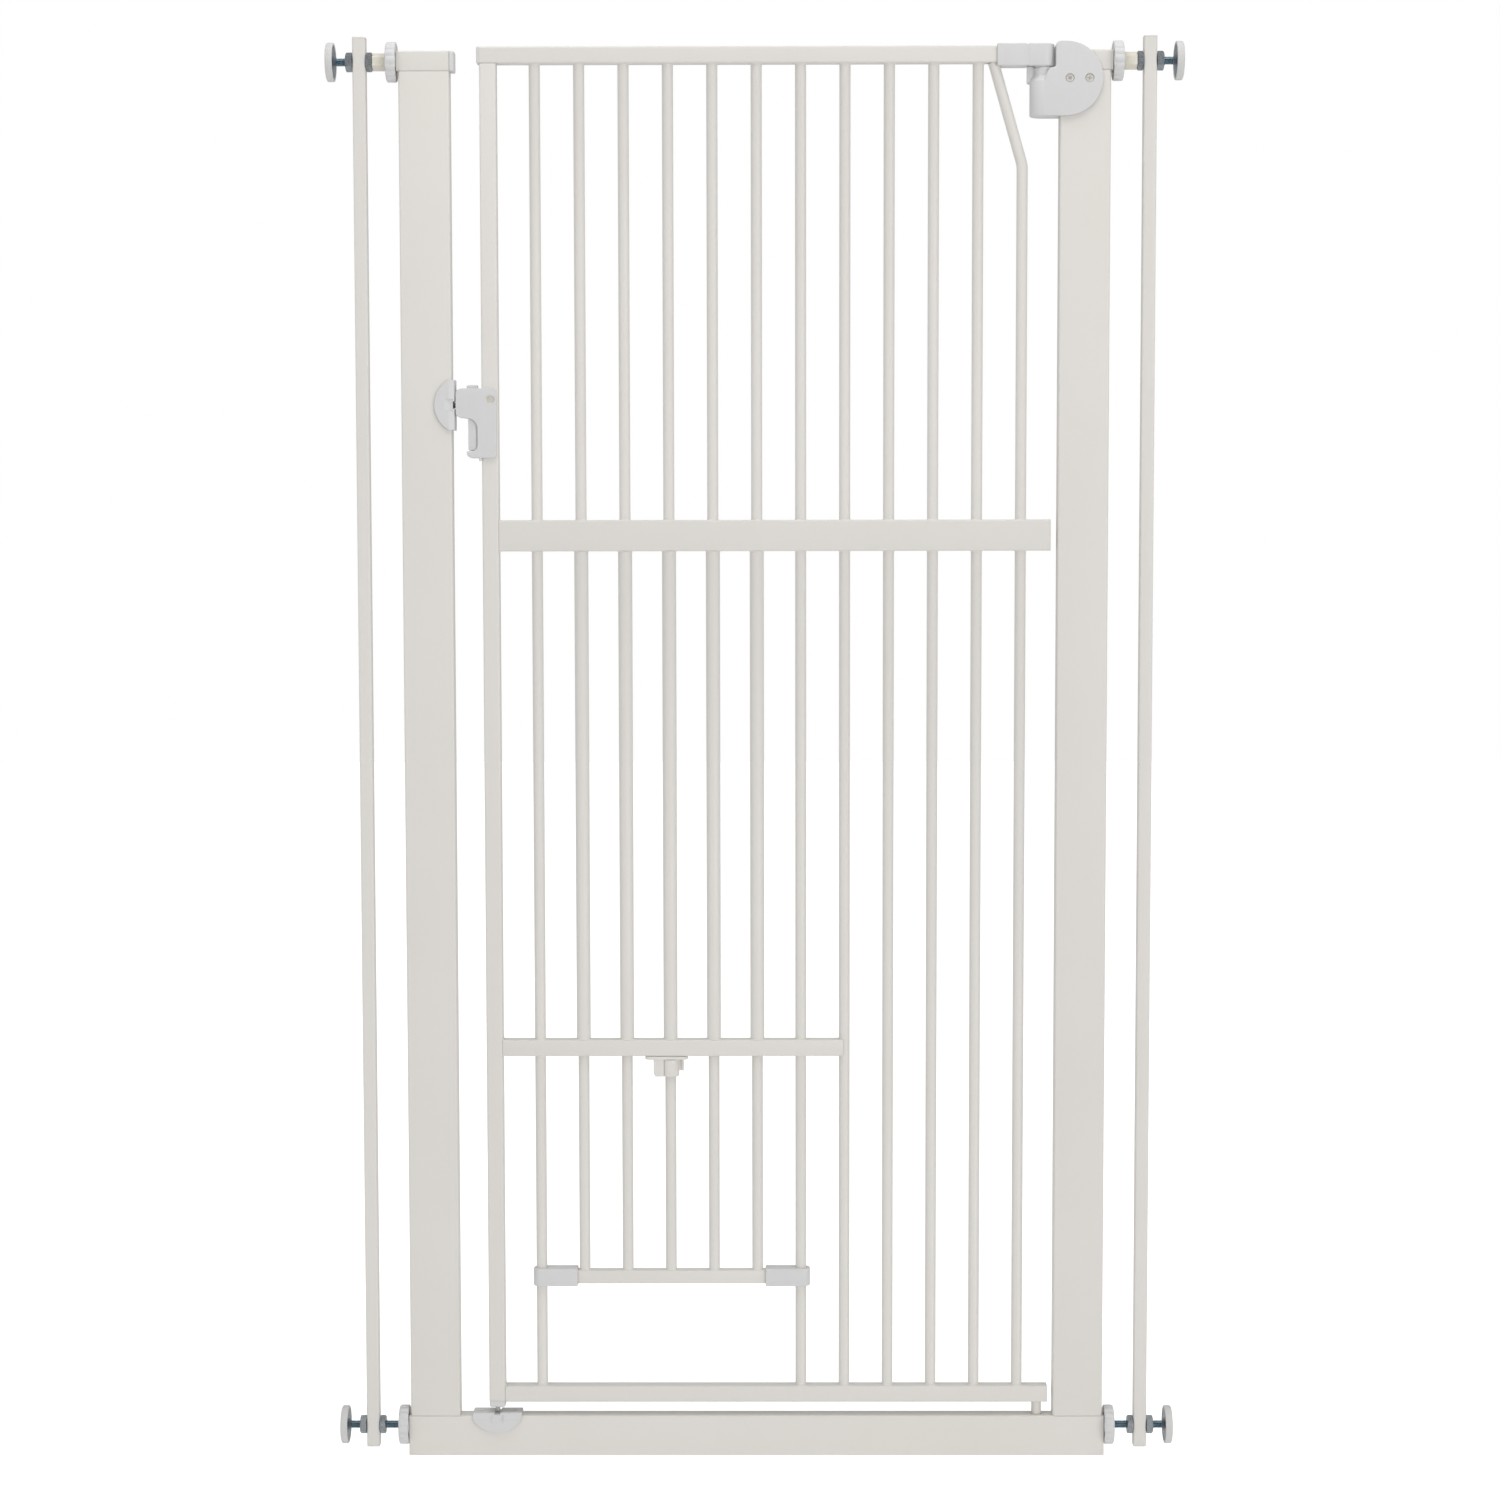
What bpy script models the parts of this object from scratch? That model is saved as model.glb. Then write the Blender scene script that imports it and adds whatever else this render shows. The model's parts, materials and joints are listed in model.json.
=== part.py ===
"""Tall walk-through pet gate: pressure-mounted steel frame, swinging door, and a sliding cat door.

Metres, +Z up. X runs across the doorway, -Y is the front. The origin is on the floor, under the
middle of the frame. Run with: blender --background --python part.py
"""
import math

import bmesh
import bpy
from mathutils import Matrix, Vector

# ---------------------------------------------------------------- driving dimensions (metres)
GAP = 0.0003               # clearance left between pieces that touch

FRAME_WIDTH = 0.700        # across the outer faces of the two posts
FRAME_HEIGHT = 1.406       # floor to the top of the posts
POST_WIDTH = 0.050
RAIL_DEPTH = 0.020         # front to back, posts and threshold
THRESHOLD_HEIGHT = 0.041
HEAD_HEIGHT = 0.020        # the short level tube on top of each post
END_PLATE = 0.002          # welded plate on each outer tube end
STEEL_WALL = 0.0015

SPINDLE_TOP_Z = FRAME_HEIGHT - HEAD_HEIGHT / 2
SPINDLE_BOTTOM_Z = 0.0295
SPINDLE_RADIUS = 0.004
SPINDLE_IN = 0.322         # where each spindle ends, inside the frame
WHEEL_RADIUS = 0.0197
WHEEL_IN, WHEEL_OUT = 0.3524, 0.3622
WHEEL_LOBES = 16
WHEEL_FLUTE = 0.0009       # depth of the hollows between the lobes
SLEEVE_IN, SLEEVE_OUT = 0.3625, 0.3760
SLEEVE_CORNER_RADIUS = 0.0089
NUT_CORNER_RADIUS = 0.0096
INNER_NUT = 0.3763         # start of the inner lock nut, which ends against the side bar
SIDE_BAR_IN = 0.3824
SIDE_BAR_WIDTH = 0.013
SIDE_BAR_BOTTOM, SIDE_BAR_TOP = 0.0080, 1.4200
OUTER_NUT_LENGTH = 0.0066
PAD_IN, PAD_OUT = 0.4137, 0.4210
PAD_RADIUS = 0.019

DOOR_TUBE = 0.0165         # square tube of the stile and the rails
DOOR_WALL = 0.0012
STILE_X = -0.26245         # middle of the latch stile
TOP_RAIL_Z = 1.40195       # middles of the four rails
MID_RAIL_Z = 0.9308
MID_RAIL_HEIGHT = 0.031
CAT_RAIL_Z = 0.41685
BOTTOM_RAIL_Z = 0.06275
MID_RAIL_END = 0.2934
BOTTOM_RAIL_END = 0.2947
STILE_BOTTOM = 0.0558

BAR_COUNT = 12
BAR_PITCH = 0.0437
FIRST_BAR_X = -0.2169
BAR_RADIUS = 0.0055
BAR_WALL = 0.001
CAT_BARS = range(1, 6)     # indices of the bars that carry a guide sleeve for the cat door
GUIDE_RADIUS = 0.007
GUIDE_BORE = 0.0058
LAST_BAR_TOP_X = 0.2354    # the last bar leans in here to pass the hinge
LAST_BAR_TOP_Z = 1.3934
LAST_BAR_KNEE_Z = 1.2944
LAST_BAR_BEND = 0.030

HINGE_X = 0.2841
HINGE_ARM_IN = 0.2382
HINGE_ARM_BOTTOM, HINGE_ARM_TOP = 1.3904, 1.4119
HINGE_ARM_HALF = 0.01075
HINGE_BOSS_RADIUS = 0.0092
HINGE_BOSS_BOTTOM = 1.3893
HINGE_PIN_RADIUS = 0.004
CASE_HALF_DEPTH = 0.0135
CASE_BOTTOM, CASE_TOP = 1.3414, 1.4138
CASE_CENTRE_X = 0.3057
CASE_INNER_X = 0.2956
BARREL_TOP = 1.3758
GUARD_OUTER = 0.0164          # a low wall behind the pivot, under the turning block
GUARD_START, GUARD_END = 104, 189
GUARD_BOTTOM = 1.3741
FOOT_PIN_RADIUS = 0.005

KEEPER_LENGTH = 0.0494
KEEPER_PLATE = 0.0026
KEEPER_SKIRT = 0.0171      # how far the half-moon cheeks run down the rail
KEEPER_DROP = 0.0028       # the cheeks run straight down this far before they curve
KEEPER_CHEEK = 0.0026
KEEPER_SLOT = 0.012
UPPER_KEEPER_Z = 1.0600

HANDLE_NOSE_X = -0.2962
HANDLE_IN_X = -0.2558
HANDLE_SPINE_X = -0.2749
HANDLE_BOTTOM, HANDLE_TOP = 1.0078, 1.0764
HANDLE_HALF_DEPTH = 0.0113
LATCH_BOLT_RADIUS = 0.003
FOOT_BOLT_RADIUS = 0.0023
LINK_ROD_RADIUS = 0.0013   # thin rod that lifts the foot bolt from the handle, inside the stile

CAT_BAR_SIZE = 0.0135
CAT_BAR_Z = 0.18275
CAT_ROD_TOP = 0.640
CLIP_LENGTH = 0.045
CLIP_HEIGHT = 0.0178
CLIP_DEPTH = 0.0190
LOCK_BARREL_RADIUS = 0.00865
LOCK_BOTTOM = 0.3876
LOCK_PLATE = 0.0034

BAR_SIDES = 16
DOOR_HALF = DOOR_TUBE / 2
POST_INNER = FRAME_WIDTH / 2 - POST_WIDTH
LOCK_BAR_X = FIRST_BAR_X + 3 * BAR_PITCH


# ---------------------------------------------------------------- small helpers
def clear_scene():
    for item in list(bpy.data.objects):
        bpy.data.objects.remove(item, do_unlink=True)


def material(name, colour, roughness, metallic=0.0):
    """One Principled material, made once and shared."""
    found = bpy.data.materials.get(name)
    if found:
        return found
    made = bpy.data.materials.new(name)
    made.use_nodes = True
    shader = made.node_tree.nodes["Principled BSDF"]
    shader.inputs["Base Color"].default_value = (*colour, 1.0)
    shader.inputs["Roughness"].default_value = roughness
    shader.inputs["Metallic"].default_value = metallic
    return made


def paint():
    return material("gate_paint", (0.66, 0.64, 0.60), 0.42)


def grey_plastic():
    return material("moulded_plastic", (0.60, 0.61, 0.62), 0.48)


def cream_plastic():
    return material("cream_plastic", (0.80, 0.77, 0.66), 0.40)


def zinc():
    return material("zinc_plate", (0.30, 0.34, 0.40), 0.35, 1.0)


def rubber():
    return material("pad_rubber", (0.72, 0.72, 0.71), 0.70)


def empty(name, place):
    """A marker at a joint's axis; it becomes the parent of the pieces that turn or slide there."""
    marker = bpy.data.objects.new(name, None)
    marker.location = place
    bpy.context.scene.collection.objects.link(marker)
    return marker


def place_mesh(name, bm, finish, parent=None, origin=(0, 0, 0), smooth=True):
    """Turn a bmesh in world coordinates into an object whose origin is at the given point."""
    bmesh.ops.recalc_face_normals(bm, faces=bm.faces)
    base = Vector(origin)
    if parent:
        base = Vector(parent.location)
    bmesh.ops.translate(bm, verts=bm.verts, vec=-base)
    mesh = bpy.data.meshes.new(name)
    bm.to_mesh(mesh)
    bm.free()
    if smooth:
        mesh.shade_smooth()
        mesh.set_sharp_from_angle(angle=math.radians(35))
    mesh.materials.append(finish)
    item = bpy.data.objects.new(name, mesh)
    bpy.context.scene.collection.objects.link(item)
    if parent:
        item.parent = parent
    else:
        item.location = base
    return item


def loft(bm, rings, wrap=False):
    """Skin a list of equal rings of points; caps both ends, or joins last to first if wrap."""
    loops = [[bm.verts.new(point) for point in ring] for ring in rings]
    count = len(loops[0])
    pairs = list(zip(loops, loops[1:]))
    if wrap:
        pairs.append((loops[-1], loops[0]))
    for low, high in pairs:
        for i in range(count):
            j = (i + 1) % count
            bm.faces.new((low[i], low[j], high[j], high[i]))
    if not wrap:
        bm.faces.new(list(reversed(loops[0])))
        bm.faces.new(loops[-1])
    return bm


def circle(radius, sides, centre=(0.0, 0.0), turn=0.0):
    return [(centre[0] + radius * math.cos(turn + 2 * math.pi * i / sides),
             centre[1] + radius * math.sin(turn + 2 * math.pi * i / sides)) for i in range(sides)]


def rounded_rectangle(width, height, radius, steps=2, centre=(0.0, 0.0)):
    points = []
    corners = ((1, 1, 0.0), (-1, 1, 0.5), (-1, -1, 1.0), (1, -1, 1.5))
    for sx, sy, start in corners:
        cx = centre[0] + sx * (width / 2 - radius)
        cy = centre[1] + sy * (height / 2 - radius)
        for step in range(steps + 1):
            angle = math.pi * (start + 0.5 * step / steps)
            points.append((cx + radius * math.cos(angle), cy + radius * math.sin(angle)))
    return points


def along(axis, points, distance):
    """Stand 2D points on the plane at a distance along an axis."""
    if axis == "x":
        return [(distance, a, b) for a, b in points]
    if axis == "y":
        return [(a, distance, b) for a, b in points]
    return [(a, b, distance) for a, b in points]


def prism(bm, axis, points, start, end):
    return loft(bm, [along(axis, points, start), along(axis, points, end)])


def open_tube(bm, axis, outer, inner, start, end):
    """A tube with both ends open, as one closed surface."""
    rings = [along(axis, outer, start), along(axis, outer, end)]
    rings += [along(axis, inner, end), along(axis, inner, start)]
    return loft(bm, rings, wrap=True)


def turned(bm, profile, centre, axis="z", sides=24, wrap=False):
    """A turned solid: profile is a list of (radius, distance along the axis)."""
    rings = []
    for radius, distance in profile:
        rings.append(along(axis, circle(radius, sides, centre), distance))
    return loft(bm, rings, wrap=wrap)


def cutter(name, build):
    """A hidden tool solid used by Boolean modifiers."""
    bm = bmesh.new()
    build(bm)
    bmesh.ops.recalc_face_normals(bm, faces=bm.faces)
    mesh = bpy.data.meshes.new(name)
    bm.to_mesh(mesh)
    bm.free()
    item = bpy.data.objects.new(name, mesh)
    bpy.context.scene.collection.objects.link(item)
    item.hide_render = True
    item.display_type = "WIRE"
    return item


def boolean(item, operation, name, build):
    step = item.modifiers.new(name, "BOOLEAN")
    step.operation = operation
    step.solver = "EXACT"
    step.object = cutter(item.name + "_" + name, build)
    return step


def square_tube(size_a, size_b, wall, centre):
    """Outer and inner outlines of a rolled rectangular tube."""
    outer = rounded_rectangle(size_a, size_b, 0.0018, 2, centre)
    inner = rounded_rectangle(size_a - 2 * wall, size_b - 2 * wall, 0.0008, 2, centre)
    return outer, inner


# ---------------------------------------------------------------- fixed frame
def threshold_rail():
    """Floor rail: a closed tube with end plates, holed for the spindles and the foot pin."""
    half = FRAME_WIDTH / 2 + END_PLATE
    middle = (0.0, THRESHOLD_HEIGHT / 2)
    outer, inner = square_tube(RAIL_DEPTH, THRESHOLD_HEIGHT, STEEL_WALL, middle)
    bm = prism(bmesh.new(), "x", outer, -half, half)
    rail = place_mesh("threshold_rail", bm, paint())
    reach = FRAME_WIDTH / 2
    boolean(rail, "DIFFERENCE", "hollow", lambda b: prism(b, "x", inner, -reach, reach))
    for side, word in ((-1, "left"), (1, "right")):
        hole = circle(SPINDLE_RADIUS + 0.0006, 20, (0, SPINDLE_BOTTOM_Z))
        boolean(rail, "DIFFERENCE", word + "_hole",
                lambda b, h=hole, s=side: prism(b, "x", h, s * (reach - 0.004), s * (half + 0.002)))
    socket = circle(FOOT_PIN_RADIUS + 0.0005, 24, (HINGE_X, 0))
    top = THRESHOLD_HEIGHT
    boolean(rail, "DIFFERENCE", "pin_socket", lambda b: prism(b, "z", socket, top - 0.006, top + 0.004))
    return rail


def post(side, name):
    """Upright with a short level head tube welded on top; both tubes are hollow."""
    middle_x = side * (POST_INNER + POST_WIDTH / 2)
    outer, inner = square_tube(POST_WIDTH, RAIL_DEPTH, STEEL_WALL, (middle_x, 0))
    foot = THRESHOLD_HEIGHT + GAP
    shoulder = FRAME_HEIGHT - HEAD_HEIGHT
    bm = prism(bmesh.new(), "z", outer, foot, shoulder + 0.001)
    upright = place_mesh(name, bm, paint())
    head_outer, head_inner = square_tube(RAIL_DEPTH, HEAD_HEIGHT, STEEL_WALL, (0, SPINDLE_TOP_Z))
    inside, outside = side * POST_INNER, side * (FRAME_WIDTH / 2 + END_PLATE)
    boolean(upright, "UNION", "head", lambda b: prism(b, "x", head_outer, inside, outside))
    boolean(upright, "DIFFERENCE", "hollow",
            lambda b: prism(b, "z", inner, foot - 0.002, shoulder - STEEL_WALL))
    plate = side * FRAME_WIDTH / 2
    boolean(upright, "DIFFERENCE", "head_hollow",
            lambda b: prism(b, "x", head_inner, side * (POST_INNER - 0.002), plate))
    hole = circle(SPINDLE_RADIUS + 0.0006, 20, (0, SPINDLE_TOP_Z))
    boolean(upright, "DIFFERENCE", "hole",
            lambda b: prism(b, "x", hole, plate - side * 0.004, outside + side * 0.002))
    return upright


def left_top_cap():
    """Plastic plug in the open inner end of the left head tube."""
    shank = RAIL_DEPTH - 2 * STEEL_WALL - 2 * GAP
    stem = rounded_rectangle(shank, shank, 0.001, 2, (0, SPINDLE_TOP_Z))
    face = rounded_rectangle(RAIL_DEPTH + 0.0006, HEAD_HEIGHT, 0.0018, 2, (0, SPINDLE_TOP_Z))
    start = -POST_INNER
    rings = [along("x", stem, start - 0.010), along("x", stem, start + GAP)]
    rings += [along("x", face, start + GAP), along("x", face, start + 0.0047)]
    return place_mesh("left_top_cap", loft(bmesh.new(), rings), grey_plastic())


def half_moon(half_length, depth, steps=10):
    """Outline of a cheek: a chord with a circular arc below it, from left to right."""
    radius = (half_length ** 2 + depth ** 2) / (2 * depth)
    spread = math.asin(half_length / radius)
    points = []
    for step in range(steps + 1):
        angle = -spread + 2 * spread * step / steps
        points.append((radius * math.sin(angle), -(depth - radius) - radius * math.cos(angle)))
    return points


def keeper_frame(name, to_world):
    """Latch keeper: a plate with half-moon cheeks that straddle the rail, slotted for the bolt.

    It is drawn with the rail's surface at height 0 and its length along the first axis, then
    to_world turns that into the place where it is fixed.
    """
    half = KEEPER_LENGTH / 2
    outline = [(half, KEEPER_PLATE + GAP), (-half, KEEPER_PLATE + GAP)]
    outline += [(a, b - KEEPER_DROP) for a, b in half_moon(half, KEEPER_SKIRT - KEEPER_DROP)]
    depth = RAIL_DEPTH / 2 + GAP + KEEPER_CHEEK
    bm = prism(bmesh.new(), "y", outline, -depth, depth)
    bm.transform(to_world)
    keeper = place_mesh(name, bm, grey_plastic())
    rail_half = RAIL_DEPTH / 2 + GAP

    def rail_space(b):
        prism(b, "y", [(-0.04, -0.03), (0.04, -0.03), (0.04, GAP), (-0.04, GAP)], -rail_half, rail_half)
        b.transform(to_world)

    def bolt_slot(b):
        low, high, wide = 0.0011, KEEPER_PLATE + 0.002, KEEPER_SLOT / 2
        prism(b, "y", [(-wide, low), (wide, low), (wide, high), (-wide, high)], -0.02, 0.02)
        b.transform(to_world)

    boolean(keeper, "DIFFERENCE", "rail_space", rail_space)
    boolean(keeper, "DIFFERENCE", "bolt_slot", bolt_slot)
    return keeper


def keepers():
    on_post = Matrix.Translation((-POST_INNER, 0, UPPER_KEEPER_Z)) @ Matrix.Rotation(math.pi / 2, 4, "Y")
    keeper_frame("upper_keeper", on_post)
    keeper_frame("lower_keeper", Matrix.Translation((STILE_X, 0, THRESHOLD_HEIGHT)))


def case_outline():
    """Front outline of the hinge case: a D whose bow faces the post's outer edge."""
    radius = (CASE_TOP - CASE_BOTTOM) / 2
    middle_z = (CASE_TOP + CASE_BOTTOM) / 2
    points = []
    for step in range(17):
        angle = -math.pi / 2 + math.pi * step / 16
        points.append((CASE_CENTRE_X + radius * math.cos(angle), middle_z + radius * math.sin(angle)))
    corner = 0.004
    for step in range(4):
        angle = math.pi / 2 + math.pi / 2 * step / 3
        points.append((CASE_INNER_X + corner + corner * math.cos(angle),
                       CASE_TOP - corner + corner * math.sin(angle)))
    points += [(CASE_INNER_X, 1.3891), (CASE_INNER_X - 0.0010, 1.3884), (HINGE_X + 0.0064, 1.3880)]
    points += [(HINGE_X + 0.0030, 1.3845), (HINGE_X, BARREL_TOP + 0.0016), (HINGE_X, CASE_BOTTOM)]
    return points


def guard(bm):
    """A thick curved wall round the back of the neck: it shields the pivot, below the turning block."""
    top, inner = HINGE_ARM_BOTTOM - 0.0004, HINGE_BOSS_RADIUS - 0.0008
    step_r, step_z = HINGE_BOSS_RADIUS + 0.0005, HINGE_BOSS_BOTTOM - 2 * GAP
    section = [(inner, GUARD_BOTTOM), (GUARD_OUTER, GUARD_BOTTOM), (GUARD_OUTER, top)]
    section += [(step_r, top), (step_r, step_z), (inner, step_z)]
    rings = []
    for step in range(9):
        angle = math.radians(GUARD_START + (GUARD_END - GUARD_START) * step / 8)
        rings.append([(HINGE_X + r * math.cos(angle), r * math.sin(angle), z) for r, z in section])
    return loft(bm, rings)


def hinge_case():
    """Moulded case on the right post: it straddles the post and holds the barrel of the top hinge."""
    bm = prism(bmesh.new(), "y", case_outline(), -CASE_HALF_DEPTH, CASE_HALF_DEPTH)
    case = place_mesh("hinge_case", bm, grey_plastic())
    profile = [(CASE_HALF_DEPTH, CASE_BOTTOM), (CASE_HALF_DEPTH, BARREL_TOP)]
    profile += [(HINGE_BOSS_RADIUS, BARREL_TOP + 0.0042), (HINGE_BOSS_RADIUS, HINGE_BOSS_BOTTOM - GAP)]
    boolean(case, "UNION", "barrel", lambda b: turned(b, profile, (HINGE_X, 0), sides=32))
    boolean(case, "UNION", "guard", guard)
    bore = circle(HINGE_PIN_RADIUS + 0.0004, 20, (HINGE_X, 0))
    boolean(case, "DIFFERENCE", "bore", lambda b: prism(b, "z", bore, 1.349, 1.400))
    half = RAIL_DEPTH / 2 + GAP
    inside, top = POST_INNER - GAP, FRAME_HEIGHT + GAP
    space = [(inside, 1.30), (0.37, 1.30), (0.37, top), (inside, top)]
    boolean(case, "DIFFERENCE", "post_space", lambda b: prism(b, "y", space, -half, half))
    return case


# ---------------------------------------------------------------- side extensions
def fluted_wheel(name, side, z, parent):
    """Adjusting wheel: a disc with rounded lobes round its rim and a threaded bore."""
    count = WHEEL_LOBES * 3
    rim = []
    for i in range(count):
        angle = 2 * math.pi * i / count
        radius = WHEEL_RADIUS - WHEEL_FLUTE * (1 - abs(math.cos(WHEEL_LOBES * angle / 2)))
        rim.append((radius * math.cos(angle), z + radius * math.sin(angle)))
    bore = circle(SPINDLE_RADIUS + GAP, count, (0, z))
    bm = open_tube(bmesh.new(), "x", rim, bore, side * WHEEL_IN, side * WHEEL_OUT)
    return place_mesh(name, bm, grey_plastic(), parent)


def hex_ring(corner_radius):
    """Hexagon with a corner on top, with three points to a side."""
    points = []
    corners = circle(corner_radius, 6, turn=math.pi / 2)
    for (ax, ay), (bx, by) in zip(corners, corners[1:] + corners[:1]):
        for step in range(3):
            points.append((ax + (bx - ax) * step / 3, ay + (by - ay) * step / 3))
    return points


def hex_sleeve(name, start, end, corner_radius, z, finish):
    ring = [(a, b + z) for a, b in hex_ring(corner_radius)]
    bore = circle(SPINDLE_RADIUS + GAP, 18, (0, z), math.pi / 2)
    bm = open_tube(bmesh.new(), "x", ring, bore, start, end)
    return place_mesh(name, bm, finish)


def side_bar(name, side):
    """Square upright beside the frame; the spindles pass through it near its ends."""
    middle = side * (SIDE_BAR_IN + SIDE_BAR_WIDTH / 2)
    outer, inner = square_tube(SIDE_BAR_WIDTH, SIDE_BAR_WIDTH, DOOR_WALL, (middle, 0))
    bm = prism(bmesh.new(), "z", outer, SIDE_BAR_BOTTOM, SIDE_BAR_TOP)
    bar = place_mesh(name, bm, paint())
    low, high = SIDE_BAR_BOTTOM + DOOR_WALL, SIDE_BAR_TOP - DOOR_WALL
    boolean(bar, "DIFFERENCE", "hollow", lambda b: prism(b, "z", inner, low, high))
    for word, z in (("top", SPINDLE_TOP_Z), ("bottom", SPINDLE_BOTTOM_Z)):
        hole = circle(SPINDLE_RADIUS + GAP, 18, (0, z))
        boolean(bar, "DIFFERENCE", word + "_hole",
                lambda b, h=hole: prism(b, "x", h, middle - 0.01, middle + 0.01))
    return bar


def spindle_set(side, word, level, z):
    """One wall fixing: threaded spindle, wheel, two lock nuts and the pad on its end."""
    tag = word + "_" + level
    axis = empty("wheel_axis_" + tag, (side * WHEEL_IN, 0, z))
    fluted_wheel("wheel_" + tag, side, z, axis)
    rod = turned(bmesh.new(), [(SPINDLE_RADIUS, side * SPINDLE_IN), (SPINDLE_RADIUS, side * (PAD_IN - GAP))],
                 (0, z), "x", 18)
    place_mesh("spindle_" + tag, rod, zinc())
    bar_out = SIDE_BAR_IN + SIDE_BAR_WIDTH + GAP
    hex_sleeve("inner_nut_" + tag, side * INNER_NUT, side * (SIDE_BAR_IN - GAP), NUT_CORNER_RADIUS, z, zinc())
    hex_sleeve("outer_nut_" + tag, side * bar_out, side * (bar_out + OUTER_NUT_LENGTH),
               NUT_CORNER_RADIUS, z, zinc())
    rim = 0.0015
    profile = [(PAD_RADIUS, side * PAD_IN), (PAD_RADIUS, side * (PAD_OUT - rim)),
               (PAD_RADIUS - 0.0004, side * (PAD_OUT - 0.0004)), (PAD_RADIUS - rim, side * PAD_OUT)]
    place_mesh("wall_pad_" + tag, turned(bmesh.new(), profile, (0, z), "x", 32), rubber())


def side_extensions():
    for side, word in ((-1, "left"), (1, "right")):
        side_bar("side_bar_" + word, side)
        hex_sleeve("spacer_sleeve_" + word, side * SLEEVE_IN, side * SLEEVE_OUT,
                   SLEEVE_CORNER_RADIUS, SPINDLE_TOP_Z, cream_plastic())
        spindle_set(side, word, "top", SPINDLE_TOP_Z)
        spindle_set(side, word, "bottom", SPINDLE_BOTTOM_Z)


# ---------------------------------------------------------------- door
def bar_x(index):
    return FIRST_BAR_X + index * BAR_PITCH


def bar_holes(rail, indices, radius, middle_z, half_height):
    """Drill one rail for the bars that pass down through it."""
    for index in indices:
        hole = circle(radius, BAR_SIDES, (bar_x(index), 0))
        boolean(rail, "DIFFERENCE", "hole_" + str(index + 1),
                lambda b, h=hole: prism(b, "z", h, middle_z - half_height, middle_z + half_height))


def latch_stile(hinge):
    """Upright of the door on the latch side, an open square tube."""
    outer, inner = square_tube(DOOR_TUBE, DOOR_TUBE, DOOR_WALL, (STILE_X, 0))
    top = TOP_RAIL_Z - DOOR_HALF - GAP
    bm = open_tube(bmesh.new(), "z", outer, inner, STILE_BOTTOM, top)
    place_mesh("latch_stile", bm, paint(), hinge)
    foot = rounded_rectangle(DOOR_TUBE - 0.0003, DOOR_TUBE - 0.0003, 0.0018, 2, (STILE_X, 0))
    shank = rounded_rectangle(0.0134, 0.0134, 0.0008, 2, (STILE_X, 0))
    bm = bmesh.new()
    low = STILE_BOTTOM - GAP - 0.0065
    rings = [along("z", foot, low), along("z", foot, STILE_BOTTOM - GAP)]
    rings += [along("z", shank, STILE_BOTTOM - GAP), along("z", shank, STILE_BOTTOM + 0.010)]
    plug = place_mesh("stile_plug", loft(bm, rings), grey_plastic(), hinge)
    bore = circle(FOOT_BOLT_RADIUS + 0.0004, 16, (STILE_X, 0))
    boolean(plug, "DIFFERENCE", "bore", lambda b: prism(b, "z", bore, low - 0.002, STILE_BOTTOM + 0.012))
    return plug


def rail(name, hinge, start, end, middle_z, height, closed_end):
    """Level tube of the door, closed at its hinge end when closed_end is set."""
    outer, inner = square_tube(DOOR_TUBE, height, DOOR_WALL, (0, middle_z))
    if not closed_end:
        return place_mesh(name, open_tube(bmesh.new(), "x", outer, inner, start, end), paint(), hinge)
    rings = [along("x", outer, start), along("x", outer, end)]
    bm = loft(bmesh.new(), rings)
    tube = place_mesh(name, bm, paint(), hinge)
    boolean(tube, "DIFFERENCE", "hollow", lambda b: prism(b, "x", inner, start - 0.002, end - 0.002))
    return tube


def door_rails(hinge):
    from_stile = STILE_X + DOOR_HALF + GAP
    rail("top_rail", hinge, STILE_X - DOOR_HALF, 0.262, TOP_RAIL_Z, DOOR_TUBE, False)
    mid = rail("mid_rail", hinge, from_stile, MID_RAIL_END, MID_RAIL_Z, MID_RAIL_HEIGHT, True)
    bar_holes(mid, range(BAR_COUNT), BAR_RADIUS + GAP, MID_RAIL_Z, 0.020)
    cat = rail("cat_rail", hinge, from_stile, 0.0876, CAT_RAIL_Z, DOOR_TUBE, False)
    bar_holes(cat, CAT_BARS, GUIDE_BORE, CAT_RAIL_Z, 0.012)
    bar_holes(cat, (0, 6, 7), BAR_RADIUS + GAP, CAT_RAIL_Z, 0.012)
    low = rail("bottom_rail", hinge, from_stile, BOTTOM_RAIL_END, BOTTOM_RAIL_Z, DOOR_TUBE, True)
    pin = circle(FOOT_PIN_RADIUS, 24, (HINGE_X, 0))
    boolean(low, "UNION", "foot_pin", lambda b: prism(b, "z", pin, 0.0335, 0.0555))


def straight_bar(name, hinge, x, top, bottom):
    outer = circle(BAR_RADIUS, BAR_SIDES, (x, 0))
    inner = circle(BAR_RADIUS - BAR_WALL, BAR_SIDES, (x, 0))
    place_mesh(name, open_tube(bmesh.new(), "z", outer, inner, bottom, top), paint(), hinge)


def guide_bar(name, hinge, x, top, bottom):
    """Bar that widens below the middle rail into a sleeve for a rod of the cat door."""
    step = MID_RAIL_Z - MID_RAIL_HEIGHT / 2 - GAP
    bore_top = step - 0.010
    profile = [(BAR_RADIUS, top), (BAR_RADIUS, step), (GUIDE_RADIUS, step), (GUIDE_RADIUS, bottom)]
    profile += [(GUIDE_BORE, bottom), (GUIDE_BORE, bore_top)]
    profile += [(BAR_RADIUS - BAR_WALL, bore_top), (BAR_RADIUS - BAR_WALL, top)]
    bm = turned(bmesh.new(), profile, (x, 0), sides=BAR_SIDES, wrap=True)
    place_mesh(name, bm, paint(), hinge)


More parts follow.
